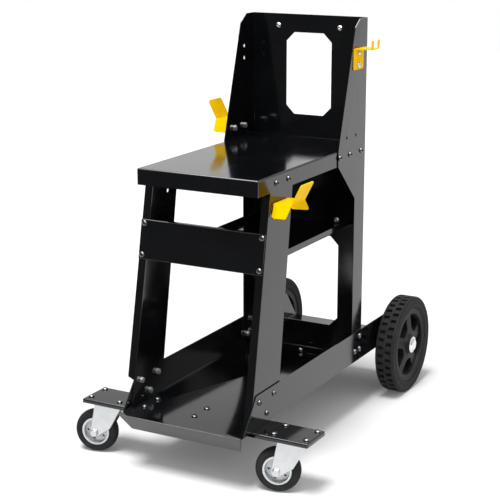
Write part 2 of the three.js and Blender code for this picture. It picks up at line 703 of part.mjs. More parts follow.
// Caster bar: long pan turned upside down under the tray front
function casterBar() {
  const half = BAR_LENGTH / 2;
  const back = BAR_SETBACK + BAR_DEPTH;
  const whole = block(-half, half, BAR_SETBACK, back, BAR_TOP - BAR_EDGE, BAR_TOP);
  const hollow = block(
    -half + BAR_SHEET,
    half - BAR_SHEET,
    BAR_SETBACK + BAR_SHEET,
    back - BAR_SHEET,
    BAR_TOP - BAR_EDGE - OVERCUT,
    BAR_UNDER,
  );
  return cut(whole, [hollow]);
}
place(casterBar(), 'caster_bar', BLACK_PAINT);

// Caster top plate with its race and kingpin
const FORK_TOP = CASTER_HEIGHT - CASTER_PLATE_THICKNESS - RACE_HEIGHT - GAP;
function casterPlate() {
  const plate = block(
    -CASTER_PLATE_LENGTH / 2,
    CASTER_PLATE_LENGTH / 2,
    -CASTER_PLATE_WIDTH / 2,
    CASTER_PLATE_WIDTH / 2,
    CASTER_HEIGHT - CASTER_PLATE_THICKNESS,
    CASTER_HEIGHT,
  );
  const headTop = FORK_TOP - FORK_SHEET - GAP;
  const pin = turnedAboutZ([
    [0, headTop - KINGPIN_HEAD_HEIGHT],
    [KINGPIN_HEAD_RADIUS, headTop - KINGPIN_HEAD_HEIGHT],
    [KINGPIN_HEAD_RADIUS, headTop],
    [KINGPIN_RADIUS, headTop],
    [KINGPIN_RADIUS, FORK_TOP + GAP],
    [RACE_RADIUS, FORK_TOP + GAP],
    [RACE_RADIUS, CASTER_HEIGHT - CASTER_PLATE_THICKNESS / 2],
    [0, CASTER_HEIGHT - CASTER_PLATE_THICKNESS / 2],
  ], WHEEL_FACETS / 2);
  return plate.add(pin);
}

// Caster fork: top disc and two tapering cheeks reaching back to the axle
const FORK_INNER = CASTER_TYRE_WIDTH / 2 + FORK_SIDE_CLEARANCE;
const FORK_OUTER = FORK_INNER + FORK_SHEET;
function casterFork() {
  const cheek = [[FORK_TOP_FRONT, FORK_TOP], [-FORK_TOP_BACK, FORK_TOP]];
  for (let step = 0; step <= FORK_EYE_STEPS; step += 1) {
    const angle = Math.PI + FORK_EYE_SWEEP * step / FORK_EYE_STEPS;
    cheek.push([
      -CASTER_TRAIL + FORK_EYE_RADIUS * Math.cos(angle),
      CASTER_WHEEL_RADIUS + FORK_EYE_RADIUS * Math.sin(angle),
    ]);
  }
  cheek.push([-CASTER_TRAIL + FORK_KNEE_AHEAD, CASTER_WHEEL_RADIUS + FORK_KNEE_RISE]);
  const crown = block(
    -FORK_TOP_BACK,
    FORK_TOP_FRONT,
    -FORK_OUTER,
    FORK_OUTER,
    FORK_TOP - FORK_SHEET,
    FORK_TOP,
  );
  const bodies = [
    crown,
    plateAcrossY(cheek, FORK_INNER, FORK_OUTER),
    plateAcrossY(cheek, -FORK_OUTER, -FORK_INNER),
  ];
  const pinHole = new THREE.CylinderGeometry(
    KINGPIN_RADIUS + HOLE_CLEARANCE,
    KINGPIN_RADIUS + HOLE_CLEARANCE,
    FORK_SHEET + 2 * OVERCUT,
    WHEEL_FACETS / 2,
  );
  pinHole.rotateX(Math.PI / 2);
  pinHole.translate(0, 0, FORK_TOP - FORK_SHEET / 2);
  const axleHole = drillY(
    -FORK_OUTER - OVERCUT,
    FORK_OUTER + OVERCUT,
    -CASTER_TRAIL,
    CASTER_WHEEL_RADIUS,
    CASTER_AXLE_RADIUS + HOLE_CLEARANCE,
  );
  return cut(join(bodies), [solid(pinHole), axleHole]);
}

// Solid of revolution about Y through the origin, from [radius, y] points
function turnedAboutY(profile, facets) {
  return solid(new THREE.LatheGeometry(profile.map(([r, y]) => new THREE.Vector2(r, y)), facets));
}

function casterTyre() {
  const half = CASTER_TYRE_WIDTH / 2;
  const bore = CASTER_RIM_RADIUS + GAP;
  return turnedAboutY([
    [bore, -half + CASTER_TYRE_BEAD],
    [CASTER_WHEEL_RADIUS - CASTER_TYRE_SIDE, -half],
    [CASTER_WHEEL_RADIUS - CASTER_TYRE_SHOULDER_DROP, -half + CASTER_TYRE_SHOULDER],
    [CASTER_WHEEL_RADIUS - CASTER_TYRE_TREAD_DROP, -half + CASTER_TYRE_TREAD_EDGE],
    [CASTER_WHEEL_RADIUS, -half + CASTER_TYRE_CROWN],
    [CASTER_WHEEL_RADIUS, half - CASTER_TYRE_CROWN],
    [CASTER_WHEEL_RADIUS - CASTER_TYRE_TREAD_DROP, half - CASTER_TYRE_TREAD_EDGE],
    [CASTER_WHEEL_RADIUS - CASTER_TYRE_SHOULDER_DROP, half - CASTER_TYRE_SHOULDER],
    [CASTER_WHEEL_RADIUS - CASTER_TYRE_SIDE, half],
    [bore, half - CASTER_TYRE_BEAD],
    [bore, -half + CASTER_TYRE_BEAD],
  ], WHEEL_FACETS);
}

function casterRim() {
  const half = CASTER_RIM_WIDTH / 2;
  const bore = CASTER_AXLE_RADIUS + GAP;
  const dish = half - CASTER_RIM_DISH;
  return turnedAboutY([
    [bore, -half],
    [CASTER_HUB_RADIUS, -half],
    [CASTER_HUB_RADIUS + CASTER_HUB_FLARE, -dish],
    [CASTER_RIM_RADIUS - 2 * CASTER_RIM_EDGE, -dish],
    [CASTER_RIM_RADIUS - CASTER_RIM_EDGE, -half],
    [CASTER_RIM_RADIUS, -half],
    [CASTER_RIM_RADIUS, half],
    [CASTER_RIM_RADIUS - CASTER_RIM_EDGE, half],
    [CASTER_RIM_RADIUS - 2 * CASTER_RIM_EDGE, dish],
    [CASTER_HUB_RADIUS + CASTER_HUB_FLARE, dish],
    [CASTER_HUB_RADIUS, half],
    [bore, half],
    [bore, -half],
  ], WHEEL_FACETS);
}

function casterAxle() {
  const inside = FORK_OUTER + GAP;
  const outside = inside + CASTER_AXLE_HEAD_HEIGHT;
  return turnedAboutY([
    [0, -outside],
    [CASTER_AXLE_HEAD_RADIUS * CASTER_AXLE_HEAD_TAPER, -outside],
    [CASTER_AXLE_HEAD_RADIUS, -inside],
    [CASTER_AXLE_RADIUS, -inside],
    [CASTER_AXLE_RADIUS, inside],
    [CASTER_AXLE_HEAD_RADIUS, inside],
    [CASTER_AXLE_HEAD_RADIUS * CASTER_AXLE_HEAD_TAPER, outside],
    [0, outside],
  ], BOLT_FACETS * 2);
}

// Two swivel casters, both turned the same way at rest
for (const [word, side] of SIDES) {
  const station = new THREE.Group();
  station.name = `caster_station_${word}`;
  station.position.set(side * CASTER_SPACING / 2, BAR_SETBACK + BAR_DEPTH / 2, 0);
  cart.add(station);
  place(casterPlate(), `caster_plate_${word}`, ZINC, station);
  const swivel = new THREE.Group();
  swivel.name = `caster_swivel_${word}`;
  swivel.rotation.z = CASTER_REST_TURN;
  station.add(swivel);
  place(casterFork(), `caster_fork_${word}`, ZINC, swivel);
  const wheel = new THREE.Group();
  wheel.name = `caster_wheel_${word}`;
  wheel.position.set(-CASTER_TRAIL, 0, CASTER_WHEEL_RADIUS);
  swivel.add(wheel);
  place(casterTyre(), `caster_tyre_${word}`, TYRE_RUBBER, wheel);
  place(casterRim(), `caster_rim_${word}`, ZINC, wheel);
  place(casterAxle(), `caster_axle_${word}`, ZINC, wheel);
}

// Rear axle across the tray, with a hanging bracket under each wall
function rearAxle() {
  const end = HUB_OUTER + AXLE_END;
  return turnedAboutX([[0, -end], [AXLE_RADIUS, -end], [AXLE_RADIUS, end], [0, end]], BOLT_FACETS * 2);
}
place(rearAxle(), 'rear_axle', AXLE_STEEL).position.set(0, AXLE_SETBACK, AXLE_HEIGHT);

function axleBracket(side) {
  const top = TRAY_UNDER - GAP;
  const half = BRACKET_DEPTH / 2;
  const far = TRAY_HALF - SHEET;
  const near = far - BRACKET_SHEET;
  const hanger = [
    [AXLE_SETBACK - half, top],
    [AXLE_SETBACK - half, top - BRACKET_SHEET],
    [AXLE_SETBACK - half * BRACKET_FOOT_SHARE, top - BRACKET_DROP],
    [AXLE_SETBACK + half * BRACKET_FOOT_SHARE, top - BRACKET_DROP],
    [AXLE_SETBACK + half, top - BRACKET_SHEET],
    [AXLE_SETBACK + half, top],
  ];
  const tab = [
    [AXLE_SETBACK - half, top - BRACKET_SHEET],
    [AXLE_SETBACK + half, top - BRACKET_SHEET],
    [AXLE_SETBACK + half, top],
    [AXLE_SETBACK - half, top],
  ];
  const axleRoom = [
    [AXLE_SETBACK - BRACKET_AXLE_ROOM, top - BRACKET_SHEET - OVERCUT],
    [AXLE_SETBACK + BRACKET_AXLE_ROOM, top - BRACKET_SHEET - OVERCUT],
    [AXLE_SETBACK + BRACKET_AXLE_ROOM, top + OVERCUT],
    [AXLE_SETBACK - BRACKET_AXLE_ROOM, top + OVERCUT],
  ];
  const body = join([
    sidePlate(hanger.reverse(), side, near, far),
    sidePlate(tab, side, near - BRACKET_TAB, far),
  ]);
  const middle = side * (near + far) / 2;
  const bore = drillX(
    middle - BRACKET_SHEET,
    middle + BRACKET_SHEET,
    AXLE_SETBACK,
    AXLE_HEIGHT,
    AXLE_RADIUS + HOLE_CLEARANCE + GAP,
  );
  return cut(body, [sidePlate(axleRoom, side, near - BRACKET_TAB - OVERCUT, near), bore]);
}

// Rear tyre with rounded shoulders
function rearTyre() {
  const half = REAR_TYRE_WIDTH / 2;
  const bore = REAR_RIM_RADIUS + GAP;
  return turnedAboutX([
    [bore, -half + REAR_TYRE_SHOULDER],
    [REAR_WHEEL_RADIUS - REAR_TYRE_SIDE, -half],
    [REAR_WHEEL_RADIUS - REAR_TYRE_CROWN, -half + REAR_TYRE_SHOULDER],
    [REAR_WHEEL_RADIUS, -half + REAR_TYRE_TREAD_EDGE],
    [REAR_WHEEL_RADIUS, half - REAR_TYRE_TREAD_EDGE],
    [REAR_WHEEL_RADIUS - REAR_TYRE_CROWN, half - REAR_TYRE_SHOULDER],
    [REAR_WHEEL_RADIUS - REAR_TYRE_SIDE, half],
    [bore, half - REAR_TYRE_SHOULDER],
    [bore, -half + REAR_TYRE_SHOULDER],
  ], TYRE_FACETS);
}

// Moulded five-spoke wheel centre
function rearHub() {
  const half = REAR_RIM_WIDTH / 2;
  const rim = turnedAboutX([
    [REAR_RIM_INNER, -half],
    [REAR_RIM_RADIUS, -half],
    [REAR_RIM_RADIUS, half],
    [REAR_RIM_INNER, half],
    [REAR_RIM_INNER, -half],
  ], TYRE_FACETS);
  const boss = turnedAboutX([
    [0, -REAR_HUB_WIDTH / 2],
    [REAR_HUB_RADIUS, -REAR_HUB_WIDTH / 2],
    [REAR_HUB_RADIUS, REAR_HUB_WIDTH / 2],
    [0, REAR_HUB_WIDTH / 2],
  ], WHEEL_FACETS / 2);
  const root = turnedAboutX([
    [0, -SPOKE_THICKNESS / 2],
    [SPOKE_ROOT_RADIUS, -SPOKE_THICKNESS / 2],
    [SPOKE_ROOT_RADIUS, SPOKE_THICKNESS / 2],
    [0, SPOKE_THICKNESS / 2],
  ], WHEEL_FACETS);
  const bodies = [rim, boss, root];
  for (let spoke = 0; spoke < SPOKE_COUNT; spoke += 1) {
    const arm = new THREE.BoxGeometry(SPOKE_THICKNESS, SPOKE_WIDTH, REAR_RIM_INNER + OVERCUT);
    arm.translate(0, 0, (REAR_RIM_INNER + OVERCUT) / 2);
    arm.rotateX(2 * Math.PI * spoke / SPOKE_COUNT);
    bodies.push(solid(arm));
  }
  const bore = drillX(-REAR_HUB_WIDTH, REAR_HUB_WIDTH, 0, 0, AXLE_RADIUS + HOLE_CLEARANCE + GAP);
  return cut(join(bodies), [bore]);
}

// Domed push-on cap with a blind bore for the axle end
function hubCap() {
  return turnedAboutX([
    [AXLE_RADIUS + GAP, 0],
    [CAP_RADIUS, 0],
    [CAP_RADIUS, CAP_RIM],
    [CAP_RADIUS * CAP_SHOULDER, CAP_SHOULDER_HEIGHT],
    [CAP_RADIUS * CAP_CROWN, CAP_HEIGHT],
    [0, CAP_HEIGHT + CAP_CROWN_RISE],
    [0, AXLE_END],
    [AXLE_RADIUS + GAP, AXLE_END],
    [AXLE_RADIUS + GAP, 0],
  ], WHEEL_FACETS / 2);
}

for (const [word, side] of SIDES) {
  place(axleBracket(side), `axle_bracket_${word}`, BLACK_PAINT);
  const wheel = new THREE.Group();
  wheel.name = `rear_wheel_${word}`;
  wheel.position.set(side * WHEEL_MIDDLE, AXLE_SETBACK, AXLE_HEIGHT);
  wheel.rotation.y = side > 0 ? 0 : Math.PI;
  cart.add(wheel);
  place(rearTyre(), `rear_tyre_${word}`, TYRE_RUBBER, wheel);
  place(rearHub(), `rear_hub_${word}`, HUB_PLASTIC, wheel);
  place(hubCap(), `hub_cap_${word}`, ZINC, wheel).position.x = REAR_HUB_WIDTH / 2 + GAP;
}

// Cable hook: base, stem, rising horn, hanging tail longer at the back, and a flap leaning forward
function cableHook(side) {
  const stem = HOOK_STEM;
  const half = HOOK_WIDTH / 2;
  const degrees = 180 / Math.PI;
  const mirror = (points) => points.map(([x, z]) => [side * x, z]);
  const wound = (points) => (side > 0 ? mirror(points) : mirror(points).reverse());
  const base = [[GAP, -HOOK_BASE], [GAP + HOOK_SHEET, -HOOK_BASE], [GAP + HOOK_SHEET, 0], [GAP, 0]];
  const shelf = [[GAP, -HOOK_SHEET], [stem, -HOOK_SHEET], [stem, 0], [GAP, 0]];
  const horn = strip([stem, -HOOK_SHEET], [stem + HOOK_HORN_OUT, HOOK_HORN_RISE], HOOK_SHEET);
  // both flaps are cut to the same hand, so the left one narrows at its inner edge
  const flapInner = GAP + HOOK_SHEET + (side > 0 ? 0 : HOOK_FLAP_TAPER);
  const flapOuter = stem - (side > 0 ? HOOK_FLAP_TAPER : 0);
  const flap = [
    [flapInner, -HOOK_FLAP_LENGTH],
    [flapOuter, -HOOK_FLAP_LENGTH],
    [stem, 0],
    [GAP + HOOK_SHEET, 0],
  ];
  const tail = [
    [-half, -HOOK_TAIL_FRONT_LENGTH],
    [half, -HOOK_TAIL_LENGTH],
    [half, 0],
    [-half, 0],
  ];
  const flapBody = plateAcrossY(wound(flap), 0, HOOK_SHEET).rotate([-HOOK_FLAP_LEAN * degrees, 0, 0]);
  const tailBody = sidePlate(tail, side, -HOOK_SHEET, 0).rotate([0, -side * HOOK_TAIL_LEAN * degrees, 0]);
  const bodies = [
    plateAcrossY(wound(base), -half, half),
    plateAcrossY(wound(shelf), -half, half),
    plateAcrossY(wound(horn), -half + HOOK_HORN_INSET, half - HOOK_HORN_INSET),
    flapBody.translate([0, -half, 0]),
    tailBody.translate([side * stem, 0, 0]),
  ];
  const middle = side * (GAP + HOOK_SHEET / 2);
  const holes = [-1, 1].map((end) => drillX(
    middle - HOOK_SHEET - OVERCUT,
    middle + HOOK_SHEET + OVERCUT,
    end * HOOK_SCREW_SPACING / 2,
    -HOOK_SCREW_DROP,
    SCREW_HOLE,
  ));
  return cut(join(bodies), holes);
}
const HOOK_GRIP = HOOK_SHEET + GAP + SHEET;
function addHook(word, side, face, setback, stemHeight, parent) {
  const hook = place(cableHook(side), `cable_hook_${word}`, YELLOW_PAINT, parent);
  hook.position.set(side * face, setback, stemHeight);
  for (const [end, step] of [['front', -1], ['rear', 1]]) {
    const screwSetback = setback + step * HOOK_SCREW_SPACING / 2;
    const screwFace = face + GAP + HOOK_SHEET;
    const name = `hook_screw_${word}_${end}`;
    sideScrew(name, side, screwFace, screwSetback, stemHeight - HOOK_SCREW_DROP, HOOK_GRIP, parent);
  }
}
addHook('left', -1, UPRIGHT_HALF, HOOK_SETBACK_LEFT, HOOK_STEM_HEIGHT_LEFT, cart);
addHook('right', 1, 0, HOOK_SETBACK_RIGHT, HOOK_STEM_HEIGHT_RIGHT - LEG_PIVOT, legGroups.right);

// Torch holder: base plate, tapering tongue and two upturned prongs
function torchHolder() {
  const half = TORCH_WIDTH / 2;
  const endHalf = TORCH_TONGUE_END / 2;
  const tongue = [[GAP, -half], [TORCH_TONGUE, -endHalf], [TORCH_TONGUE, endHalf], [GAP, half]];
  const bodies = [
    block(GAP, GAP + SHEET, -half, half, -TORCH_HEIGHT, 0),
    plateAcrossZ(tongue, -SHEET, 0),
  ];
  for (const end of [-1, 1]) {
    const outer = end * endHalf;
    const inner = end * (endHalf - TORCH_PRONG_WIDTH);
    const low = Math.min(outer, inner);
    const high = Math.max(outer, inner);
    bodies.push(block(TORCH_TONGUE - SHEET, TORCH_TONGUE, low, high, -SHEET, TORCH_PRONG_HEIGHT));
  }
  const holes = [-1, 1].map((end) => drillX(
    -OVERCUT,
    GAP + SHEET + OVERCUT,
    0,
    -TORCH_HEIGHT / 2 + end * TORCH_SCREW_SPACING / 2,
    SCREW_HOLE,
  ));
  return cut(join(bodies), holes);
}
place(torchHolder(), 'torch_holder', YELLOW_PAINT).position.set(UPRIGHT_HALF, TORCH_SETBACK, TORCH_TOP);
for (const [end, step] of [['lower', -1], ['upper', 1]]) {
  const height = TORCH_TOP - TORCH_HEIGHT / 2 + step * TORCH_SCREW_SPACING / 2;
  sideScrew(`torch_screw_${end}`, 1, UPRIGHT_HALF + GAP + SHEET, TORCH_SETBACK, height, 2 * SHEET + GAP);
}

// Screws through the shelf skirt, the tray wall and the leg or rear panel behind them
const PAIR_GRIP = 2 * SHEET + 2 * GAP;
for (const [word, side] of SIDES) {
  SKIRT_SCREWS.forEach(([setback, height], index) => {
    sideScrew(`skirt_screw_${word}_${index + 1}`, side, SHELF_HALF, setback, height, PAIR_GRIP);
  });
  WALL_FRONT_SCREWS.forEach(([setback, height], index) => {
    sideScrew(`wall_front_screw_${word}_${index + 1}`, side, TRAY_HALF, setback, height, PAIR_GRIP);
  });
  WALL_REAR_SCREWS.forEach(([setback, height], index) => {
    sideScrew(`wall_rear_screw_${word}_${index + 1}`, side, TRAY_HALF, setback, height, PAIR_GRIP);
  });
}

// Screws through the front panel into the legs, square to the leaning panel
for (const [word, side] of SIDES) {
  PANEL_SCREW_HEIGHTS.forEach((height, index) => {
    const profile = screwProfile(PAIR_GRIP);
    const screw = place(turnedAboutY(profile, BOLT_FACETS), `panel_screw_${word}_${index + 1}`, ZINC);
    const thick = SHEET * Math.hypot(1, LEG_LEAN);
    const across = side > 0 ? PANEL_SCREW_OFFSET : -PANEL_SCREW_LEFT;
    screw.position.set(across, legFront(height) - GAP - thick, height);
    screw.rotation.x = Math.PI - Math.atan(LEG_LEAN);
  });
}

// Two anchor bolts through the top of the rear web
for (const [word, side] of SIDES) {
  const profile = screwProfile(SHEET);
  const bolt = place(turnedAboutY(profile, BOLT_FACETS), `anchor_bolt_${word}`, ZINC);
  bolt.position.set(side * ANCHOR_SPACING / 2, WEB_FRONT, UPRIGHT_TOP - ANCHOR_DROP);
  bolt.rotation.x = Math.PI;
}

// Origin on the floor, under the middle of the whole cart
const reach = new THREE.Box3().setFromObject(cart, true);
const middle = reach.getCenter(new THREE.Vector3());
cart.position.set(-middle.x, -middle.y, 0);

export default cart;
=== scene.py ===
import math

import bmesh
import bpy
from mathutils import Matrix, Vector
from mathutils.bvhtree import BVHTree


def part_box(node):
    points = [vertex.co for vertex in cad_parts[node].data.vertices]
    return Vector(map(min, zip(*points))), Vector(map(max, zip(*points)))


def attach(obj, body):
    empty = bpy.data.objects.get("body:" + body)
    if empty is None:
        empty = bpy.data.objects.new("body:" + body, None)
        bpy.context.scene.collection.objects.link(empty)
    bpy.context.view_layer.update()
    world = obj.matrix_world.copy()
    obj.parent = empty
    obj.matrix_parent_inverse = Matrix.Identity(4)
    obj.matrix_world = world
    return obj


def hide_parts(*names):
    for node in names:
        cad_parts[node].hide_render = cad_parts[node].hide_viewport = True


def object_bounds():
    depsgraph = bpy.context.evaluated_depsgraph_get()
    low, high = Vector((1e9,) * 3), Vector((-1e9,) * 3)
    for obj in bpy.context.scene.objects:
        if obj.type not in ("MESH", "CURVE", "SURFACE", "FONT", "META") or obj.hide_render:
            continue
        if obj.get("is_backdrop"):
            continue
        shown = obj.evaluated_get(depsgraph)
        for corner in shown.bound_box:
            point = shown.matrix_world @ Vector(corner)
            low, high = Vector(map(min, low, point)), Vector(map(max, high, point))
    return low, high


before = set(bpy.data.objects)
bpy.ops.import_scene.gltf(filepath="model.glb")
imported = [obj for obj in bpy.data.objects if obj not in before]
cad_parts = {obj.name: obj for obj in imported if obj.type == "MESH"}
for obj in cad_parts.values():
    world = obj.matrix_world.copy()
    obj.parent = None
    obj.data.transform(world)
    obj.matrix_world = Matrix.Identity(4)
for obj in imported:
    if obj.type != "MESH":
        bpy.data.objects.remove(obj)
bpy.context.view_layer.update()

# Bottom tray: one long sheet of mild steel folded into a floor, two side walls with slanted ends
# and a sloping front lip. It is powder coated black and carries everything else.
# The coat eases the folds and the cut edges, so every edge gets a small round.
MM = 0.001


def linear(code):
    """sRGB hex to a linear colour."""
    shares = [int(code[start:start + 2], 16) / 255 for start in (1, 3, 5)]
    levels = [share / 12.92 if share <= 0.04045 else ((share + 0.055) / 1.055) ** 2.4 for share in shares]
    return (*levels, 1.0)


def add(tree, kind, settings=(), links=()):
    """One node with its settings and its links."""
    node = tree.nodes.new(kind)
    for name, value in dict(settings).items():
        if isinstance(name, int) or name in node.inputs:
            node.inputs[name].default_value = value
        else:
            setattr(node, name, value)
    for name, source in dict(links).items():
        tree.links.new(source, node.inputs[name])
    return node


def finish_named(name, **constants):
    """A material with its constants on the shader itself, and the place that its patterns follow."""
    material = bpy.data.materials.new(name)
    material.use_nodes = True
    tree = material.node_tree
    shader = tree.nodes["Principled BSDF"]
    for socket, value in constants.items():
        shader.inputs[socket.replace("_", " ")].default_value = value
    return material, tree, shader, add(tree, "ShaderNodeTexCoord").outputs["Object"]


def surface(tree, shader, pattern, tones, roughness, stops=(0.3, 0.7), span=(0.0, 1.0), relief=None):
    """Colour and roughness that follow a pattern, and a relief of (pattern, strength, depth in mm)."""
    tint = add(tree, "ShaderNodeValToRGB", links={"Fac": pattern.outputs["Fac"]})
    for element, stop, tone in zip(tint.color_ramp.elements, stops, tones):
        element.position = stop
        element.color = linear(tone)
    limits = {"From Min": span[0], "From Max": span[1], "To Min": roughness[0], "To Max": roughness[1]}
    dull = add(tree, "ShaderNodeMapRange", limits, {"Value": pattern.outputs["Fac"]})
    tree.links.new(tint.outputs["Color"], shader.inputs["Base Color"])
    tree.links.new(dull.outputs["Result"], shader.inputs["Roughness"])
    if relief:
        grain, strength, depth = relief
        settings = {"Strength": strength, "Distance": depth * MM}
        bump = add(tree, "ShaderNodeBump", settings, {"Height": grain.outputs["Fac"]})
        tree.links.new(bump.outputs["Normal"], shader.inputs["Normal"])


# Powder coat, black gloss: baked resin over steel. It is a dark mirror with a faint orange peel,
# and rubs and dust make some patches a little duller than others.
black_coat, tree, shader, place = finish_named("powder_coat_black_gloss", IOR=1.6)
# handling marks about 70 mm across
rubs = {"Scale": 1 / (70 * MM), "Detail": 4.0, "Roughness": 0.6}
marks = add(tree, "ShaderNodeTexNoise", rubs, {"Vector": place})
# orange peel is about 1 mm in the real coat, drawn at 5 mm so that it shows
peel = add(tree, "ShaderNodeTexNoise", {"Scale": 1 / (5 * MM), "Detail": 1.0}, {"Vector": place})
surface(
    tree, shader, marks, tones=("#07080A", "#0E0F11"), roughness=(0.08, 0.14), span=(0.3, 0.7),
    relief=(peel, 0.035, 0.4),
)

# a fold turns the sheet by more than this, and a shorter edge is a corner of the cut outline
LEAST_FOLD = math.radians(30)
SHORTEST_CORNER = 1.2 * MM
LONGEST_CORNER = 2.6 * MM
# the sheet goes on this far beside a fold or a corner, and a point this near lies on it
SHEET_BESIDE = 2.4 * MM
ON_SHEET = 0.05 * MM
# two faces lie in one plane, and an edge runs along a fold
SAME_WAY = 0.99999
SAME_PLANE = 0.01 * MM
FLAT = 0.01
ALONGSIDE = 0.85
# the plain strip beside a fold, as a share of its radius, and the steps of its round
STRIP_SHARE = 1.3
FOLD_STEPS = 4


def inward(edge, loop):
    """Direction from an edge into one of its faces."""
    along = (edge.verts[1].co - edge.verts[0].co).normalized()
    return loop.face.normal.cross(along) * (1 if loop.vert == edge.verts[0] else -1)


def corners(work, outside, long):
    """Folds of a sheet, or the short corner edges of its outline, where the sheet goes on at both sides."""
    sheet = BVHTree.FromBMesh(work)
    found = []
    for edge in work.edges:
        if len(edge.link_faces) != 2 or edge.is_convex != outside or edge.calc_face_angle() < LEAST_FOLD:
            continue
        size = edge.calc_length()
        if size < SHORTEST_CORNER or (size > LONGEST_CORNER) != long:
            continue
        middle = (edge.verts[0].co + edge.verts[1].co) / 2
        beside = [middle + inward(edge, loop) * SHEET_BESIDE for loop in edge.link_loops]
        if all(sheet.find_nearest(point)[3] < ON_SHEET for point in beside):
            found.append(edge)
    return found


def level_faces(work, point, normal):
    """Faces that lie in one plane."""
    level = []
    for face in work.faces:
        height = (face.verts[0].co - point).dot(normal)
        if face.normal.dot(normal) > SAME_WAY and abs(height) < SAME_PLANE:
            level.append(face)
    return level


def clear_beside(work, edges, reach):
    """Redraw the flat faces beside some folds as plain strips, where a long sliver runs along the fold."""
    lines = []
    for edge in edges:
        along = (edge.verts[1].co - edge.verts[0].co).normalized()
        around = {other for end in edge.verts for other in end.link_edges if len(other.link_faces) == 2}
        around.discard(edge)
        for loop in edge.link_loops:
            slivers = []
            for other in around:
                slope = abs((other.verts[1].co - other.verts[0].co).normalized().dot(along))
                if loop.face in other.link_faces and other.calc_face_angle() < FLAT and slope > ALONGSIDE:
                    slivers.append(other)
            if slivers:
                lines.append((edge.verts[0].co.copy(), inward(edge, loop), loop.face.normal.copy()))
    for point, way, normal in lines:
        faces = level_faces(work, point, normal)
        sides = dict.fromkeys(side for face in faces for side in face.edges)
        ends = dict.fromkeys(end for face in faces for end in face.verts)
        cut = point + way * reach
        bmesh.ops.bisect_plane(
            work, geom=[*faces, *sides, *ends], dist=0.001 * MM, plane_co=cut, plane_no=way,
        )
    for point, way, normal in lines:
        strip = []
        for face in level_faces(work, point, normal):
            distances = [(end.co - point).dot(way) for end in face.verts]
            if min(distances) > -SAME_PLANE and max(distances) < reach + SAME_PLANE:
                strip.append(face)
        sides = dict.fromkeys(side for face in strip for side in face.edges if len(side.link_faces) == 2)
        inner = [side for side in sides if all(face in strip for face in side.link_faces)]
        if inner:
            bmesh.ops.dissolve_edges(work, edges=inner, use_verts=False)


def round_off(work, radius, outside, long):
    """Round the folds or corners of one kind, one joined run of edges at a time."""
    done = set()
    while True:
        spots = {}
        for edge in corners(work, outside, long):
            spots[edge] = tuple(round(part / MM) for part in edge.verts[0].co + edge.verts[1].co)
        queue = [edge for edge in spots if spots[edge] not in done][:1]
        if not queue:
            break
        run = []
        while queue:
            edge = queue.pop()
            if edge not in run:
                run.append(edge)
                queue += [other for end in edge.verts for other in end.link_edges if other in spots]
        done |= {spots[edge] for edge in run}
        bmesh.ops.bevel(
            work, geom=run, offset=radius, offset_type="OFFSET", segments=FOLD_STEPS, profile=0.5,
            affect="EDGES", clamp_overlap=outside,
        )


def set_up(name, mesh, material, body, nodes, sharp, edge, limit):
    """A piece of the cart from its mesh: smooth faces, rounded edges in millimetres, and what it rides on."""
    piece = bpy.data.objects.new(name, mesh)
    bpy.context.scene.collection.objects.link(piece)
    mesh.materials.append(material)
    for polygon in mesh.polygons:
        polygon.use_smooth = True
    mesh.set_sharp_from_angle(angle=math.radians(sharp))
    if edge:
        rounding = piece.modifiers.new("rounding", "BEVEL")
        rounding.width = edge * MM
        rounding.segments = 2
        rounding.limit_method = "ANGLE"
        rounding.angle_limit = math.radians(limit)
    if nodes:
        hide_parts(*nodes)
    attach(piece, body)
    return piece


def folded(node, material, body="frame", bend=3.0, corner=1.5, edge=0.35):
    """A sheet piece over its solid: round folds, eased corners and softened cut edges, in millimetres."""
    work = bmesh.new()
    work.from_mesh(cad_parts[node].data)
    bmesh.ops.remove_doubles(work, verts=work.verts, dist=0.002 * MM)
    bmesh.ops.dissolve_limit(work, angle_limit=math.radians(0.5), verts=work.verts, edges=work.edges)
    # the outside of each fold first, then its inside, then the cut corners
    for radius, outside, long in ((bend, True, True), (bend / 2, False, True), (corner, True, False)):
        bmesh.ops.remove_doubles(work, verts=work.verts, dist=0.01 * MM)
        if radius and long:
            clear_beside(work, corners(work, outside, True), radius * STRIP_SHARE * MM)
        if radius:
            round_off(work, radius * MM, outside, long)
    mesh = bpy.data.meshes.new(f"{node}_sheet")
    work.to_mesh(mesh)
    work.free()
    piece = set_up(f"{node}_sheet", mesh, material, body, [node], sharp=32, edge=edge, limit=40)
    shading = piece.modifiers.new("shading", "WEIGHTED_NORMAL")
    shading.keep_sharp = True


folded("bottom_tray", black_coat)

# Rear panel: a tall U folded from one steel sheet, with two windows and side flanges that taper to the top.
# It is coated as the tray is, bolted between the tray walls, and a gas bottle leans on its back.
folded("rear_panel", black_coat)

# Top shelf: a steel sheet folded down all round to a pan turned upside down, coated black.
# It is bolted between the rear panel's flanges and to the tops of the legs.
folded("top_shelf", black_coat)

# Front legs and front panel: two folded steel angles that lean back from the tray walls to the shelf,
# and a folded cross plate bolted to their fronts. All three are coated black.
folded("front_leg_left", black_coat)
folded("front_leg_right", black_coat)
folded("front_panel", black_coat)

# Middle shelf: a shallow tray of folded steel with turned-up edges, coated black.
# It rests on the front panel's lower lip and is bolted to the rear panel.
folded("middle_shelf", black_coat)

# Caster bar: a long shallow pan of folded steel turned upside down, coated black.
# It is bolted under the front of the tray and carries a caster at each end.
folded("caster_bar", black_coat, bend=2.6, corner=0)

# Swivel casters: pressed steel plates and forks, zinc plated, with a kingpin between them,
# and a rubber tyre on a pressed steel rim and disc that turn on a through axle.
# Bright zinc plate: a thin plated layer on pressed steel, pale and softly mirror-like with a faint cloud.
zinc, tree, shader, place = finish_named("zinc_plate_bright", Metallic=1.0)
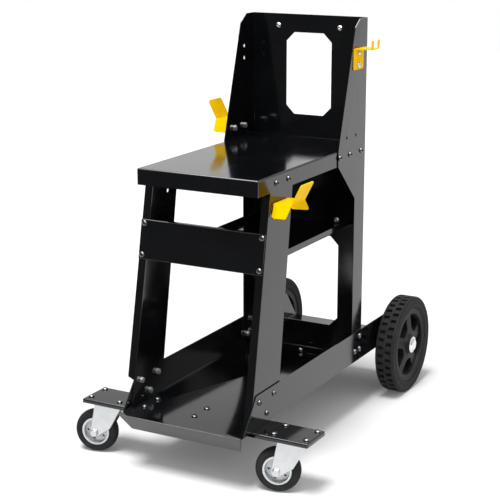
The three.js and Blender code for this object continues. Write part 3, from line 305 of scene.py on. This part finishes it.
# plating clouds about 12 mm across
cloud = add(tree, "ShaderNodeTexNoise", {"Scale": 1 / (12 * MM), "Detail": 3.0}, {"Vector": place})
surface(tree, shader, cloud, tones=("#D3D6D7", "#E2E4E5"), roughness=(0.3, 0.42), span=(0.3, 0.7))

# Zinc plate with painted shade: the same plating on the pressed discs of the caster wheels, painted greyer
# than the rim as the shade in the recess inside the rim.
recess_shaded_zinc, tree, shader, place = finish_named("zinc_plate_recess_shaded", Metallic=1.0)
# plating clouds about 9 mm across
cloud = add(tree, "ShaderNodeTexNoise", {"Scale": 1 / (9 * MM), "Detail": 3.0}, {"Vector": place})
surface(tree, shader, cloud, tones=("#9DA0A2", "#B6B9BB"), roughness=(0.22, 0.34), span=(0.3, 0.7))

# Tyre rubber: moulded black rubber, dull with a fine grain and a grey bloom.
rubber, tree, shader, place = finish_named("tyre_rubber_moulded", IOR=1.32, Specular_IOR_Level=0.05)
# bloom in patches about 25 mm across
bloom = add(tree, "ShaderNodeTexNoise", {"Scale": 1 / (25 * MM), "Detail": 4.0}, {"Vector": place})
# mould grain is about 0.3 mm, drawn at 1.2 mm so that it shows
grain = add(tree, "ShaderNodeTexNoise", {"Scale": 1 / (1.2 * MM), "Detail": 2.0}, {"Vector": place})
surface(
    tree, shader, bloom, tones=("#272728", "#333334"), roughness=(0.42, 0.58), stops=(0.3, 0.75),
    span=(0.3, 0.7), relief=(grain, 0.25, 0.1),
)


def shell(name, parts, matrix, material, body, nodes=(), smooth=35, edge=0.0):
    """A mesh from (points, faces) parts set in place, riding on a body."""
    points = []
    faces = []
    for part_points, part_faces in parts:
        faces += [[len(points) + corner for corner in face] for face in part_faces]
        points += part_points
    mesh = bpy.data.meshes.new(name)
    mesh.from_pydata(points, [], faces)
    mesh.transform(matrix)
    work = bmesh.new()
    work.from_mesh(mesh)
    bmesh.ops.remove_doubles(work, verts=work.verts, dist=0.001 * MM)
    bmesh.ops.recalc_face_normals(work, faces=work.faces)
    work.to_mesh(mesh)
    work.free()
    set_up(name, mesh, material, body, nodes, sharp=smooth, edge=edge, limit=smooth)


def at(along, radius, angle):
    """A point at a radius about X, in millimetres."""
    return along * MM, radius * MM * math.cos(angle), radius * MM * math.sin(angle)


def circle(row, steps):
    """The points of one ring as a face."""
    return [row * steps + step for step in range(steps)]


def bands(count, steps, closed=False):
    """Faces that join each ring of points to the next, and the last to the first where they close up."""
    faces = []
    for row in range(count if closed else count - 1):
        after = (row + 1) % count
        near = row * steps
        far = after * steps
        for step in range(steps):
            ahead = (step + 1) % steps
            faces.append([near + step, near + ahead, far + ahead, far + step])
    return faces


def turned(profile, steps):
    """A profile of (radius, along) in millimetres turned about X; a closed profile repeats its start."""
    closed = profile[0] == profile[-1]
    rows = profile[:-1] if closed else profile
    turns = [2 * math.pi * step / steps for step in range(steps)]
    points = [at(along, radius, angle) for radius, along in rows for angle in turns]
    faces = bands(len(rows), steps, closed)
    if not closed:
        faces += [circle(0, steps), circle(len(rows) - 1, steps)]
    return points, faces


def both_sides(half):
    """A closed profile from its right half, which starts at the middle."""
    whole = [(radius, -along) for radius, along in half[::-1]] + half[1:]
    return whole + whole[:1]


def pierced_disc(inner, outer, count, middle, reach, low, high, phase=0.0, rise=0.0, steps=16):
    """A disc from low to high along X with a ring of holes, higher by rise at its inner edge.

    Its reach at an angle is the size of a hole about its middle radius.
    """
    points = []
    faces = []
    half = math.pi / count
    shares = [step / steps for step in range(steps)]
    border = [(outer, -half + 2 * half * share) for share in shares]
    border += [(outer + (inner - outer) * share, half) for share in shares]
    border += [(inner, half - 2 * half * share) for share in shares]
    border += [(inner + (outer - inner) * share, -half) for share in shares]
    edge = [(radius * math.cos(angle), radius * math.sin(angle)) for radius, angle in border]
    turns = [math.atan2(across, out - middle) for out, across in edge]
    ring = [(middle + reach(turn) * math.cos(turn), reach(turn) * math.sin(turn)) for turn in turns]
    total = len(edge)
    for hole in range(count):
        centre = 2 * math.pi * hole / count + phase
        base = len(points)
        for along, lift in ((low, 0.0), (high, rise)):
            for out, across in edge + ring:
                points.append((
                    (along + lift * (outer - math.hypot(out, across)) / (outer - inner)) * MM,
                    MM * (out * math.cos(centre) - across * math.sin(centre)),
                    MM * (out * math.sin(centre) + across * math.cos(centre)),
                ))
        # the rings are the low edge and hole, then the high edge and hole
        for first, second in ((0, 1), (2, 3), (1, 3)):
            for step in range(total):
                ahead = (step + 1) % total
                start = base + first * total
                stop = base + second * total
                faces.append([start + step, start + ahead, stop + ahead, stop + step])
    return points, faces


# the casters stand turned a little at rest
CASTER_TURN = 0.239
half_tyre = [
    (37.5, 0), (37.4, 2.0), (37.0, 4.0), (36.4, 6.0), (35.3, 8.2), (33.9, 9.8), (32.0, 11.2), (29.5, 12.0),
    (28.2, 11.9), (27.6, 11.3), (26.9, 11.3), (26.3, 11.8), (25.4, 11.6), (24.8, 11.0),
]
DISC_LOW = 2.2
DISC_HIGH = 3.2
DISC_INNER = 10.8
DISC_OUTER = 19.6
DISC_HOLES = 5
HOLE_RING = 15.2
HOLE_RADIUS = 2.3
rim_flange = [
    (DISC_OUTER, DISC_HIGH), (20.2, 4.2), (20.6, 9.0), (21.0, 9.8), (21.8, 10.1), (24.0, 10.1), (24.5, 9.6),
    (24.5, 0.0), (23.0, 0.0), (20.8, 3.0), (DISC_OUTER, DISC_LOW), (DISC_OUTER, DISC_HIGH),
]
rim_boss = [
    (4.4, 9.9), (8.4, 9.9), (9.4, 9.2), (10.0, 4.6), (DISC_INNER, DISC_HIGH), (DISC_INNER, DISC_LOW),
    (9.4, 3.0), (4.4, 3.0), (4.4, 9.9),
]
for word in ("left", "right"):
    folded(f"caster_plate_{word}", zinc, bend=0, corner=0, edge=0.6)
    folded(f"caster_fork_{word}", zinc, f"caster_swivel_{word}", bend=3.0, corner=0, edge=0.5)
    folded(f"caster_axle_{word}", zinc, f"caster_swivel_{word}", bend=0, corner=0, edge=0.5)
    low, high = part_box(f"caster_tyre_{word}")
    # the wheel's own axis runs fore and aft, turned with the caster
    axis_turn = Matrix.Rotation(CASTER_TURN + math.pi / 2, 4, "Z")
    hub = Matrix.Translation((Vector(low) + Vector(high)) / 2) @ axis_turn
    body = f"caster_wheel_{word}"
    tyre = turned(both_sides(half_tyre), steps=72)
    shell(
        f"caster_tyre_skin_{word}", [tyre], hub, rubber, body, [f"caster_tyre_{word}"],
        smooth=50,
    )
    ring = []
    disc = []
    for side in (-1, 1):
        ring.append(turned([(radius, side * along) for radius, along in rim_flange], steps=64))
        disc.append(turned([(radius, side * along) for radius, along in rim_boss], steps=48))
        disc.append(pierced_disc(
            DISC_INNER, DISC_OUTER, DISC_HOLES, HOLE_RING, lambda turn: HOLE_RADIUS,
            side * DISC_LOW, side * DISC_HIGH,
        ))
    shell(f"caster_rim_skin_{word}", ring, hub, zinc, body, [f"caster_rim_{word}"])
    # the disc takes the zinc that is painted darker, painted shade in the recess inside the rim
    shell(f"caster_disc_skin_{word}", disc, hub, recess_shaded_zinc, body)

# Rear axle and its brackets: a plain drawn steel rod under the tray, carried in two folded steel brackets
# that are coated as the tray is.
# Drawn steel bar: grey, with fine lines along its length.
bar_steel, tree, shader, place = finish_named("drawn_steel_bar", Metallic=1.0)
lay = add(tree, "ShaderNodeMapping", {"Scale": (0.02, 1.0, 1.0)}, {"Vector": place})
# draw lines are about 0.2 mm, drawn at 0.8 mm so that they show
fine = {"Scale": 1 / (0.8 * MM), "Detail": 2.0}
lines = add(tree, "ShaderNodeTexNoise", fine, {"Vector": lay.outputs["Vector"]})
surface(tree, shader, lines, tones=("#8E9092", "#B6B8BA"), roughness=(0.28, 0.45), stops=(0.0, 1.0))
folded("rear_axle", bar_steel, bend=0, corner=0, edge=0.6)
folded("axle_bracket_left", black_coat, corner=0)
folded("axle_bracket_right", black_coat, corner=0)

# Rear wheels: semi-pneumatic rubber tyres with two staggered rows of lugs, on moulded five-spoke centres.
# Each is held on the axle by a domed steel push-on cap.
# Moulded polypropylene: dark grey, dull, with a fine spark-eroded grain.
hub_plastic, tree, shader, place = finish_named(
    "polypropylene_moulded_dark", IOR=1.49, Specular_IOR_Level=0.16,
)
# flow marks about 30 mm across
flow = add(tree, "ShaderNodeTexNoise", {"Scale": 1 / (30 * MM), "Detail": 2.0}, {"Vector": place})
# spark grain is about 0.2 mm, drawn at 1 mm so that it shows
grain = add(tree, "ShaderNodeTexNoise", {"Scale": 1 / (1.0 * MM), "Detail": 2.0}, {"Vector": place})
surface(tree, shader, flow, tones=("#0D0E0F", "#141517"), roughness=(0.42, 0.56), relief=(grain, 0.2, 0.1))

# Polished zinc on the push-on caps: thin plating over drawn steel, a clear mirror with faint clouds.
cap_zinc, tree, shader, place = finish_named("zinc_plate_polished", Metallic=1.0)
# clouds about 8 mm across
cloud = add(tree, "ShaderNodeTexNoise", {"Scale": 1 / (8 * MM), "Detail": 3.0}, {"Vector": place})
surface(tree, shader, cloud, tones=("#DADCDD", "#ECEDEE"), roughness=(0.06, 0.16))

# two rows of tread blocks: how many, how much of the pitch each one takes, where it starts and ends
# from the middle of the tyre, and its outline as (radius, share of its length)
LUGS = 38
LUG_SHARE = 0.56
LUG_REACH = (1.8, 13.6)
LUG_OUTLINE = [(85.5, -0.5), (91.5, -0.5), (92.0, -0.44), (92.0, 0.44), (91.5, 0.5), (85.5, 0.5)]
# five windows between the spokes, from the boss to the rim, in millimetres
SPOKES = 5
HALF_SPOKE = 10.0
WINDOW_INNER = 28.5
WINDOW_OUTER = 58.0
WINDOW_MIDDLE = 44.0
WINDOW_ROUND = 6.0
# the disc that they are cut in runs a little into the boss and the ring, and rises to the boss
SPOKE_DISC_INNER = 20.0
SPOKE_DISC_OUTER = 59.4
SPOKE_DISC_HALF = 10
SPOKE_DISC_RISE = 5.0


def lug(middle, span, side):
    """One tread block with eased top edges between the middle rib and the shoulder rib, angles in radians."""
    points = []
    for radius, share in LUG_OUTLINE:
        points += [at(side * along, radius, middle + span * share) for along in LUG_REACH]
    rows = range(len(LUG_OUTLINE))
    faces = [[2 * row, 2 * row + 1, 2 * row + 3, 2 * row + 2] for row in rows[:-1]]
    faces.append([2 * row for row in rows])
    faces.append([2 * row + 1 for row in rows])
    return points, faces


def window(turn):
    """Size of a wheel window about its middle radius: it lies between two spokes, with round corners."""
    beside = math.pi / SPOKES
    # found by halving, from a size that is too large
    near = 0.0
    far = 40.0
    for _ in range(24):
        size = (near + far) / 2
        out = WINDOW_MIDDLE + size * math.cos(turn)
        across = size * math.sin(turn)
        radius = math.hypot(out, across)
        limits = [WINDOW_INNER - radius, radius - WINDOW_OUTER]
        for side in (-1, 1):
            limits.append(HALF_SPOKE - (out * math.sin(beside) - side * across * math.cos(beside)))
        excess = math.sqrt(sum(max(0.0, limit + WINDOW_ROUND) ** 2 for limit in limits))
        if excess <= WINDOW_ROUND:
            near = size
        else:
            far = size
    return near


half_tyre = [
    (92.0, 0), (92.0, 1.8), (91.6, 2.3), (86.0, 2.6), (86.0, 12.8), (91.6, 13.2), (92.0, 13.8), (91.5, 15.6),
    (90.5, 17.0), (89.0, 18.0), (87.0, 18.5), (82.0, 18.4), (80.8, 17.8), (79.6, 17.8), (78.4, 18.3),
    (74.0, 17.8), (72.4, 17.4), (71.6, 16.6), (70.3, 16.6),
]
hub_ring = [
    (59, -16.0), (59.6, -16.5), (69.2, -16.5), (70, -15.8), (70, 15.8), (69.2, 16.5), (66.8, 16.5),
    (66.0, 15.6), (64.6, 15.4), (60.2, 15.4), (59.2, 14.6), (58.6, 12.5), (58.6, -15.0), (59, -16.0),
]
hub_boss = [
    (6.6, -19), (18.5, -19), (20, -17.8), (20.6, -10), (20.6, 10.5), (20, 15.8), (19.2, 16.6), (17.6, 17.0),
    (17.0, 18.4), (16.2, 19), (6.6, 19), (6.6, -19),
]
cap_dome = [
    (6.3, 0.0), (14.4, 0.0), (15.3, 0.5), (15.5, 1.2), (14.8, 1.8), (13.6, 1.9), (12.6, 2.4), (11.6, 3.6),
    (9.8, 4.9), (7.4, 5.8), (4.6, 6.3), (2.0, 6.5), (0.3, 6.5), (0.3, 3.0), (6.3, 3.0), (6.3, 0.0),
]
for word, side in (("left", -1), ("right", 1)):
    # the left wheel and its cap look the other way
    about = Matrix.Rotation(math.pi if side < 0 else 0.0, 4, "Z")
    low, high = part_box(f"rear_tyre_{word}")
    wheel = Matrix.Translation((Vector(low) + Vector(high)) / 2) @ about
    body = f"rear_wheel_{word}"
    tread = [turned(both_sides(half_tyre), steps=120)]
    pitch = 2 * math.pi / LUGS
    for step in range(LUGS):
        tread.append(lug(step * pitch, pitch * LUG_SHARE, 1))
        tread.append(lug((step + 0.5) * pitch, pitch * LUG_SHARE, -1))
    shell(
        f"rear_tyre_skin_{word}", tread, wheel, rubber, body, [f"rear_tyre_{word}"],
        smooth=38,
    )
    centre = [turned(hub_ring, steps=96), turned(hub_boss, steps=48)]
    centre.append(pierced_disc(
        SPOKE_DISC_INNER, SPOKE_DISC_OUTER, SPOKES, WINDOW_MIDDLE, window, -SPOKE_DISC_HALF, SPOKE_DISC_HALF,
        phase=math.pi / 2 + math.pi / SPOKES, rise=SPOKE_DISC_RISE,
    ))
    shell(
        f"rear_hub_skin_{word}", centre, wheel, hub_plastic, body, [f"rear_hub_{word}"],
        smooth=38, edge=0.6,
    )
    low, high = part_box(f"hub_cap_{word}")
    seat = low[0] if side > 0 else high[0]
    cap = Matrix.Translation((seat, (low[1] + high[1]) / 2, (low[2] + high[2]) / 2)) @ about
    dome = turned(cap_dome, steps=48)
    shell(f"hub_cap_skin_{word}", [dome], cap, cap_zinc, "frame", [f"hub_cap_{word}"])

# Cable hooks: steel sheet bent to a shelf with a rising horn, a hanging tail and a flap at the front.
# Two screws hold each one, the right on its leg and the left on the rear panel. Powder coated yellow.
# Powder coat, yellow: smooth and half glossy, with the colour a little deeper where the coat is thick.
yellow_coat, tree, shader, place = finish_named("powder_coat_yellow", IOR=1.5, Specular_IOR_Level=0.02)
# coat thickness in patches about 20 mm across
patch = add(tree, "ShaderNodeTexNoise", {"Scale": 1 / (20 * MM), "Detail": 3.0}, {"Vector": place})
# orange peel is about 1 mm in the real coat, drawn at 3 mm so that it shows
peel = add(tree, "ShaderNodeTexNoise", {"Scale": 1 / (3 * MM), "Detail": 1.0}, {"Vector": place})
surface(tree, shader, patch, tones=("#F9C300", "#FFD000"), roughness=(0.28, 0.4), relief=(peel, 0.06, 0.3))
for word in ("left", "right"):
    folded(f"cable_hook_{word}", yellow_coat, bend=2.4, corner=4.0, edge=0.5)

# Torch holder: a steel plate on the right flange with a forked tongue bent out of it for the torch.
# It is coated yellow as the hooks are, and two screws hold it.
folded("torch_holder", yellow_coat, bend=2.0, corner=2.0, edge=0.5)

# Screws: M6 zinc-plated button heads with a hexagon socket, each with a hexagon nut behind.
# They join the legs, shelves, tray, caster bar and rear panel.
# Zinc plate on screws: the same plating over turned steel, smoother, and painted greyer than the bright zinc
# as painted shade on the heads, for the dim room that the domes reflect.
shaded_screw_zinc, tree, shader, place = finish_named("zinc_plate_screw_shaded", Metallic=1.0)
# plating clouds about 4 mm across
cloud = add(tree, "ShaderNodeTexNoise", {"Scale": 1 / (4 * MM), "Detail": 2.0}, {"Vector": place})
surface(tree, shader, cloud, tones=("#565A5E", "#777B7F"), roughness=(0.2, 0.32))
# sizes of an M6 screw in millimetres
HEAD_RADIUS = 5.0
HEAD = 3.2
HEAD_RIM = 0.5
SOCKET = 4.0
SOCKET_DEPTH = 1.8
SHANK = 3.0
NUT = 5.0
NUT_FLATS = 9.0064
NUT_EASE = 0.5
# a nut's corners are turned off at its ends to this share of its width
NUT_CORNER = 0.5704
SCREW_STEPS = 24
# the room that the solids leave under a head and under a nut, and how far a head stands off its sheet
GAP = 0.3
LIFT = 0.05
SHEET = 1.5


def hexagon(across_flats, angle):
    """Radius of a hexagon at an angle."""
    step = math.pi / 3
    return across_flats / 2 / math.cos((angle % step) - step / 2)


def hexagon_nut(low, high):
    """A nut along X with its corners turned off at both ends, in millimetres."""
    rows = [(low, NUT_CORNER), (low + NUT_EASE, 1.0), (high - NUT_EASE, 1.0), (high, NUT_CORNER)]
    points = []
    for along, share in rows:
        for step in range(SCREW_STEPS):
            angle = 2 * math.pi * step / SCREW_STEPS
            points.append(at(along, min(hexagon(NUT_FLATS, angle), NUT_FLATS * share), angle))
    faces = bands(len(rows), SCREW_STEPS)
    faces += [circle(0, SCREW_STEPS), circle(len(rows) - 1, SCREW_STEPS)]
    return points, faces


def button_screw(grip, nut=NUT):
    """Parts of one screw along X, its head seated at 0 and facing +X, in millimetres."""
    rows = [(HEAD_RADIUS, 0.0), (HEAD_RADIUS, HEAD_RIM)]
    # the dome stops short of its top, where the socket is
    for step in range(1, 6):
        rise = math.radians(90 * step / 7)
        rows.append((HEAD_RADIUS * math.cos(rise) ** 0.75, HEAD_RIM + (HEAD - HEAD_RIM) * math.sin(rise)))
    turns = [2 * math.pi * step / SCREW_STEPS for step in range(SCREW_STEPS)]
    points = [at(along, radius, angle) for radius, along in rows for angle in turns]
    for along in (HEAD, HEAD - SOCKET_DEPTH):
        points += [at(along, hexagon(SOCKET, angle), angle) for angle in turns]
    rings = len(rows) + 2
    faces = bands(rings, SCREW_STEPS)
    faces += [circle(0, SCREW_STEPS), circle(rings - 1, SCREW_STEPS)]
    parts = [(points, faces)]
    if nut:
        end = -grip - nut
        parts.append(hexagon_nut(end, -grip))
        parts.append(turned([(SHANK, end - 0.4), (SHANK - 0.4, end - 0.8), (0.4, end - 0.8)], steps=16))
        parts.append(turned([(SHANK, end), (SHANK, 0.0)], steps=16))
    return parts


def facing(point, direction):
    """Place of a screw whose head looks along a direction."""
    turn = Vector((1, 0, 0)).rotation_difference(Vector(direction)).to_matrix().to_4x4()
    return Matrix.Translation(point) @ turn


side_screws = []
for word in ("left", "right"):
    side_screws += [(f"skirt_screw_{word}_{number}", word) for number in (1, 2)]
    side_screws += [(f"wall_front_screw_{word}_{number}", word) for number in (1, 2, 3)]
    side_screws += [(f"wall_rear_screw_{word}_{number}", word) for number in (1, 2, 3)]
    side_screws += [(f"hook_screw_{word}_{end}", word) for end in ("front", "rear")]
side_screws += [("torch_screw_lower", "right"), ("torch_screw_upper", "right")]
for node, word in side_screws:
    low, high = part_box(node)
    side = 1 if word == "right" else -1
    seat = (high[0] if side > 0 else low[0]) - side * (HEAD + GAP - LIFT) * MM
    grip = (high[0] - low[0]) / MM - HEAD - NUT - 2 * GAP
    setting = facing((seat, (low[1] + high[1]) / 2, (low[2] + high[2]) / 2), (side, 0, 0))
    screw = button_screw(grip + GAP)
    # the torch screws take the bright zinc, painted light, and the others the grey copy, painted shade, of
    # one plating
    metal = zinc if node.startswith("torch") else shaded_screw_zinc
    shell(f"{node}_head", screw[:1], setting, metal, "frame", [node])
    # the nuts take the bright zinc, painted light for the light from the front on them
    shell(f"{node}_nut", screw[1:], setting, zinc, "frame")

# the front panel's screws look along the lean of the legs, through the panel and a leg
LEAN = math.atan(0.188)
PANEL_GRIP = 3.6
ahead = Vector((0, -math.cos(LEAN), math.sin(LEAN)))
for word in ("left", "right"):
    for number in (1, 2):
        node = f"panel_screw_{word}_{number}"
        low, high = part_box(node)
        middle = (Vector(low) + Vector(high)) / 2
        setting = facing(middle - ahead * ((HEAD - PANEL_GRIP - NUT) / 2 * MM), ahead)
        screw = button_screw(PANEL_GRIP + GAP)
        shell(f"{node}_head", screw, setting, shaded_screw_zinc, "frame", [node])
    node = f"anchor_bolt_{word}"
    low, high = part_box(node)
    seat = low[1] + (HEAD + GAP - LIFT) * MM
    setting = facing(((low[0] + high[0]) / 2, seat, (low[2] + high[2]) / 2), (0, -1, 0))
    # the anchor bolts take the bright zinc, painted light on their heads
    shell(f"{node}_head", button_screw(SHEET + GAP), setting, zinc, "frame", [node])

# More of the same screws: through the tray floor into the caster bar, through the bar into the casters,
# through the rear panel's flanges into the top shelf, and through the middle shelf and the panel's foot.
# Their rows are measured back from the front of the tray and their columns from its middle, in millimetres.
BOLT_ROWS = (52.0, 92.0)
TRAY_COLUMNS = (-96.5, 0.0, 96.5)
CASTER_COLUMNS = (-203.0, -146.0, 146.0, 203.0)
SHELF_ROWS = (354.8, 395.6, 441.7)
SHELF_BOLT_HEIGHT = 488.5
MIDDLE_COLUMN = 60.6
MIDDLE_BOLT_HEIGHT = 354.0
FOOT_ROW = 436.0
FLOOR_RISE = 30.0
TRAY_GRIP = 3.8
CASTER_GRIP = 4.8
PAIR_GRIP = 3.3
tray_low, tray_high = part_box("bottom_tray")
panel_low, panel_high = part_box("rear_panel")
middle = (tray_low[0] + tray_high[0]) / 2
front = tray_low[1]
floor_level = tray_low[2] + FLOOR_RISE * MM
bar_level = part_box("caster_bar")[1][2]
shelf_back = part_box("middle_shelf")[1][1]
up = (0, 0, 1)
extra = []
for row, back in enumerate(BOLT_ROWS, 1):
    for column, offset in enumerate(TRAY_COLUMNS, 1):
        point = (middle + offset * MM, front + back * MM, floor_level)
        extra.append((f"tray_bolt_{row}_{column}", point, up, TRAY_GRIP, 0.0))
    for column, offset in enumerate(CASTER_COLUMNS, 1):
        point = (middle + offset * MM, front + back * MM, bar_level)
        extra.append((f"caster_bolt_{row}_{column}", point, up, CASTER_GRIP, 0.0))
for word, side in (("left", -1), ("right", 1)):
    face = panel_high[0] if side > 0 else panel_low[0]
    for number, back in enumerate(SHELF_ROWS, 1):
        point = (face, front + back * MM, SHELF_BOLT_HEIGHT * MM)
        extra.append((f"shelf_bolt_{word}_{number}", point, (side, 0, 0), PAIR_GRIP, NUT))
    point = (middle + side * MIDDLE_COLUMN * MM, shelf_back - SHEET * MM, MIDDLE_BOLT_HEIGHT * MM)
    extra.append((f"middle_bolt_{word}", point, (0, -1, 0), PAIR_GRIP, NUT))
point = (middle, front + FOOT_ROW * MM, panel_low[2] + SHEET * MM)
extra.append(("foot_bolt", point, up, PAIR_GRIP, NUT))
for name, point, direction, grip, nut in extra:
    setting = facing(Vector(point) + Vector(direction) * LIFT * MM, direction)
    # the middle shelf's bolts take the bright zinc, painted light in the dark space between the shelves, and
    # the others the grey copy, painted shade
    metal = zinc if name.startswith("middle") else shaded_screw_zinc
    shell(name, button_screw(grip, nut), setting, metal, "frame")

# Studio: a pale floor that ends a little in front of the cart, a broad soft light overhead
# and a white room. The room is dim in front, so the faces turned to the camera stay dark.
floor_mesh = bpy.data.meshes.new("studio_floor")
floor_mesh.from_pydata([(-4, -0.9, 0), (4, -0.9, 0), (4, 6, 0), (-4, 6, 0)], [], [(0, 1, 2, 3)])
floor = bpy.data.objects.new("studio_floor", floor_mesh)
bpy.context.scene.collection.objects.link(floor)
floor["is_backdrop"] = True
# Painted board: matt white, with a very slight mottling. The camera sees it a little lighter than it is lit.
board, tree, shader, place = finish_named("studio_board_white", Roughness=0.9, Specular_IOR_Level=0.0)
# mottling about 300 mm across
mottle = add(tree, "ShaderNodeTexNoise", {"Scale": 1 / (300 * MM), "Detail": 2.0}, {"Vector": place})
tint = add(tree, "ShaderNodeValToRGB", links={"Fac": mottle.outputs["Fac"]})
tint.color_ramp.elements[0].color = linear("#EBEBEB")
tint.color_ramp.elements[1].color = linear("#F1F1F1")
tree.links.new(tint.outputs["Color"], shader.inputs["Base Color"])
rays = add(tree, "ShaderNodeLightPath").outputs
lift = add(tree, "ShaderNodeMath", {"operation": "MULTIPLY", 1: 0.06}, {0: rays["Is Camera Ray"]})
glow = add(tree, "ShaderNodeEmission", links={"Strength": lift.outputs["Value"]})
both = add(tree, "ShaderNodeAddShader", links={0: shader.outputs["BSDF"], 1: glow.outputs["Emission"]})
tree.links.new(both.outputs["Shader"], tree.nodes["Material Output"].inputs["Surface"])
floor_mesh.materials.append(board)

world = bpy.data.worlds.new("studio_room")
bpy.context.scene.world = world
world.use_nodes = True
tree = world.node_tree
backdrop = tree.nodes["Background"]
rays = add(tree, "ShaderNodeLightPath").outputs
direction = add(tree, "ShaderNodeTexCoord").outputs["Generated"]
look = add(tree, "ShaderNodeSeparateXYZ", links={"Vector": direction}).outputs
# what the gloss shows: a bright room, dim low down in front, and dimmer at the right and higher up
ahead = add(
    tree, "ShaderNodeMapRange", {"From Min": 0.05, "From Max": -0.45, "To Min": 0.0, "To Max": 0.92},
    {"Value": look["Y"]},
)
lower = add(
    tree, "ShaderNodeMapRange", {"From Min": 0.6, "From Max": 0.25, "To Min": 0.0, "To Max": 1.0},
    {"Value": look["Z"]},
)
dim = add(
    tree, "ShaderNodeMath", {"operation": "MULTIPLY"},
    {0: ahead.outputs["Result"], 1: lower.outputs["Result"]},
)
beside = add(
    tree, "ShaderNodeMapRange", {"From Min": 0.1, "From Max": 0.7, "To Min": 1.0, "To Max": 0.84},
    {"Value": look["X"]},
)
upper = add(
    tree, "ShaderNodeMapRange", {"From Min": 0.22, "From Max": 0.34, "To Min": 1.0, "To Max": 0.72},
    {"Value": look["Z"]},
)
walls = add(
    tree, "ShaderNodeMath", {"operation": "MULTIPLY"},
    {0: beside.outputs["Result"], 1: upper.outputs["Result"]},
)
room = add(
    tree, "ShaderNodeMath", {"operation": "SUBTRACT", "use_clamp": True},
    {0: walls.outputs["Value"], 1: dim.outputs["Value"]},
)
# the overhead softbox, which only bends, screws and domes turn to the camera
above = add(
    tree, "ShaderNodeMapRange", {"From Min": 0.55, "From Max": 0.75, "To Min": 0.0, "To Max": 9.0},
    {"Value": look["Z"]},
)
for axis, start, stop in (("X", 0.56, 0.5), ("Y", 0.45, 0.33)):
    reach = add(tree, "ShaderNodeMath", {"operation": "ABSOLUTE"}, {0: look[axis]})
    limits = {"From Min": start, "From Max": stop}
    within = add(tree, "ShaderNodeMapRange", limits, {"Value": reach.outputs["Value"]})
    product = {0: above.outputs[0], 1: within.outputs["Result"]}
    above = add(tree, "ShaderNodeMath", {"operation": "MULTIPLY"}, product)
room = add(
    tree, "ShaderNodeMath", {"operation": "ADD"},
    {0: room.outputs["Value"], 1: above.outputs["Value"]},
)
# what lights the cart: a weak room with a broad soft glow from the front right and above
glow = add(
    tree, "ShaderNodeVectorMath", {"operation": "DOT_PRODUCT", 1: (0.46, -0.61, 0.645)}, {0: direction},
)
fall = {"interpolation_type": "SMOOTHSTEP", "From Min": 0.0, "From Max": 1.0, "To Min": 0.08, "To Max": 1.05}
soft = add(tree, "ShaderNodeMapRange", fall, {"Value": glow.outputs["Value"]})
# the same glow as screw heads and domes show it
gleam = add(
    tree, "ShaderNodeMapRange", {"From Min": 0.9, "From Max": 0.96, "To Min": 0.0, "To Max": 4.5},
    {"Value": glow.outputs["Value"]},
)
room = add(
    tree, "ShaderNodeMath", {"operation": "ADD"},
    {0: room.outputs["Value"], 1: gleam.outputs["Result"]},
)
lit = add(
    tree, "ShaderNodeMix", {"data_type": "FLOAT"},
    {0: rays["Is Glossy Ray"], 2: soft.outputs["Result"], 3: room.outputs["Value"]},
)
direct = add(
    tree, "ShaderNodeMath", {"operation": "MAXIMUM"},
    {0: rays["Is Camera Ray"], 1: rays["Is Transmission Ray"]},
)
level = add(
    tree, "ShaderNodeMix", {"data_type": "FLOAT", 3: 1.0},
    {0: direct.outputs["Value"], 2: lit.outputs[0]},
)
backdrop.inputs["Color"].default_value = (1, 1, 1, 1)
tree.links.new(level.outputs[0], backdrop.inputs["Strength"])

overhead = bpy.data.lights.new("overhead_softbox", "SUN")
overhead.energy = 2.7
overhead.angle = math.radians(20)
lamp = bpy.data.objects.new("overhead_softbox", overhead)
lamp.rotation_euler = (math.radians(22), 0, 0)
bpy.context.scene.collection.objects.link(lamp)

# Camera: a long lens a little above the cart, from its front right.
# Its lens is worked out from a focal length in pixels of a picture 500 pixels wide.
FOCAL_PIXELS = 1383.4
PICTURE_PIXELS = 500
SENSOR = 36
TILT_DOWN = 14.39
TURN_RIGHT = 28.69
camera_data = bpy.data.cameras.new("camera")
camera_data.sensor_width = SENSOR
camera_data.lens = SENSOR * FOCAL_PIXELS / PICTURE_PIXELS
camera_data.clip_end = 50
camera = bpy.data.objects.new("camera", camera_data)
camera.location = (1.10587, -2.10122, 0.92319)
camera.rotation_euler = (math.radians(90 - TILT_DOWN), 0, math.radians(TURN_RIGHT))
bpy.context.scene.collection.objects.link(camera)
bpy.context.scene.camera = camera
bpy.context.scene.view_settings.view_transform = "Standard"

low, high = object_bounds()
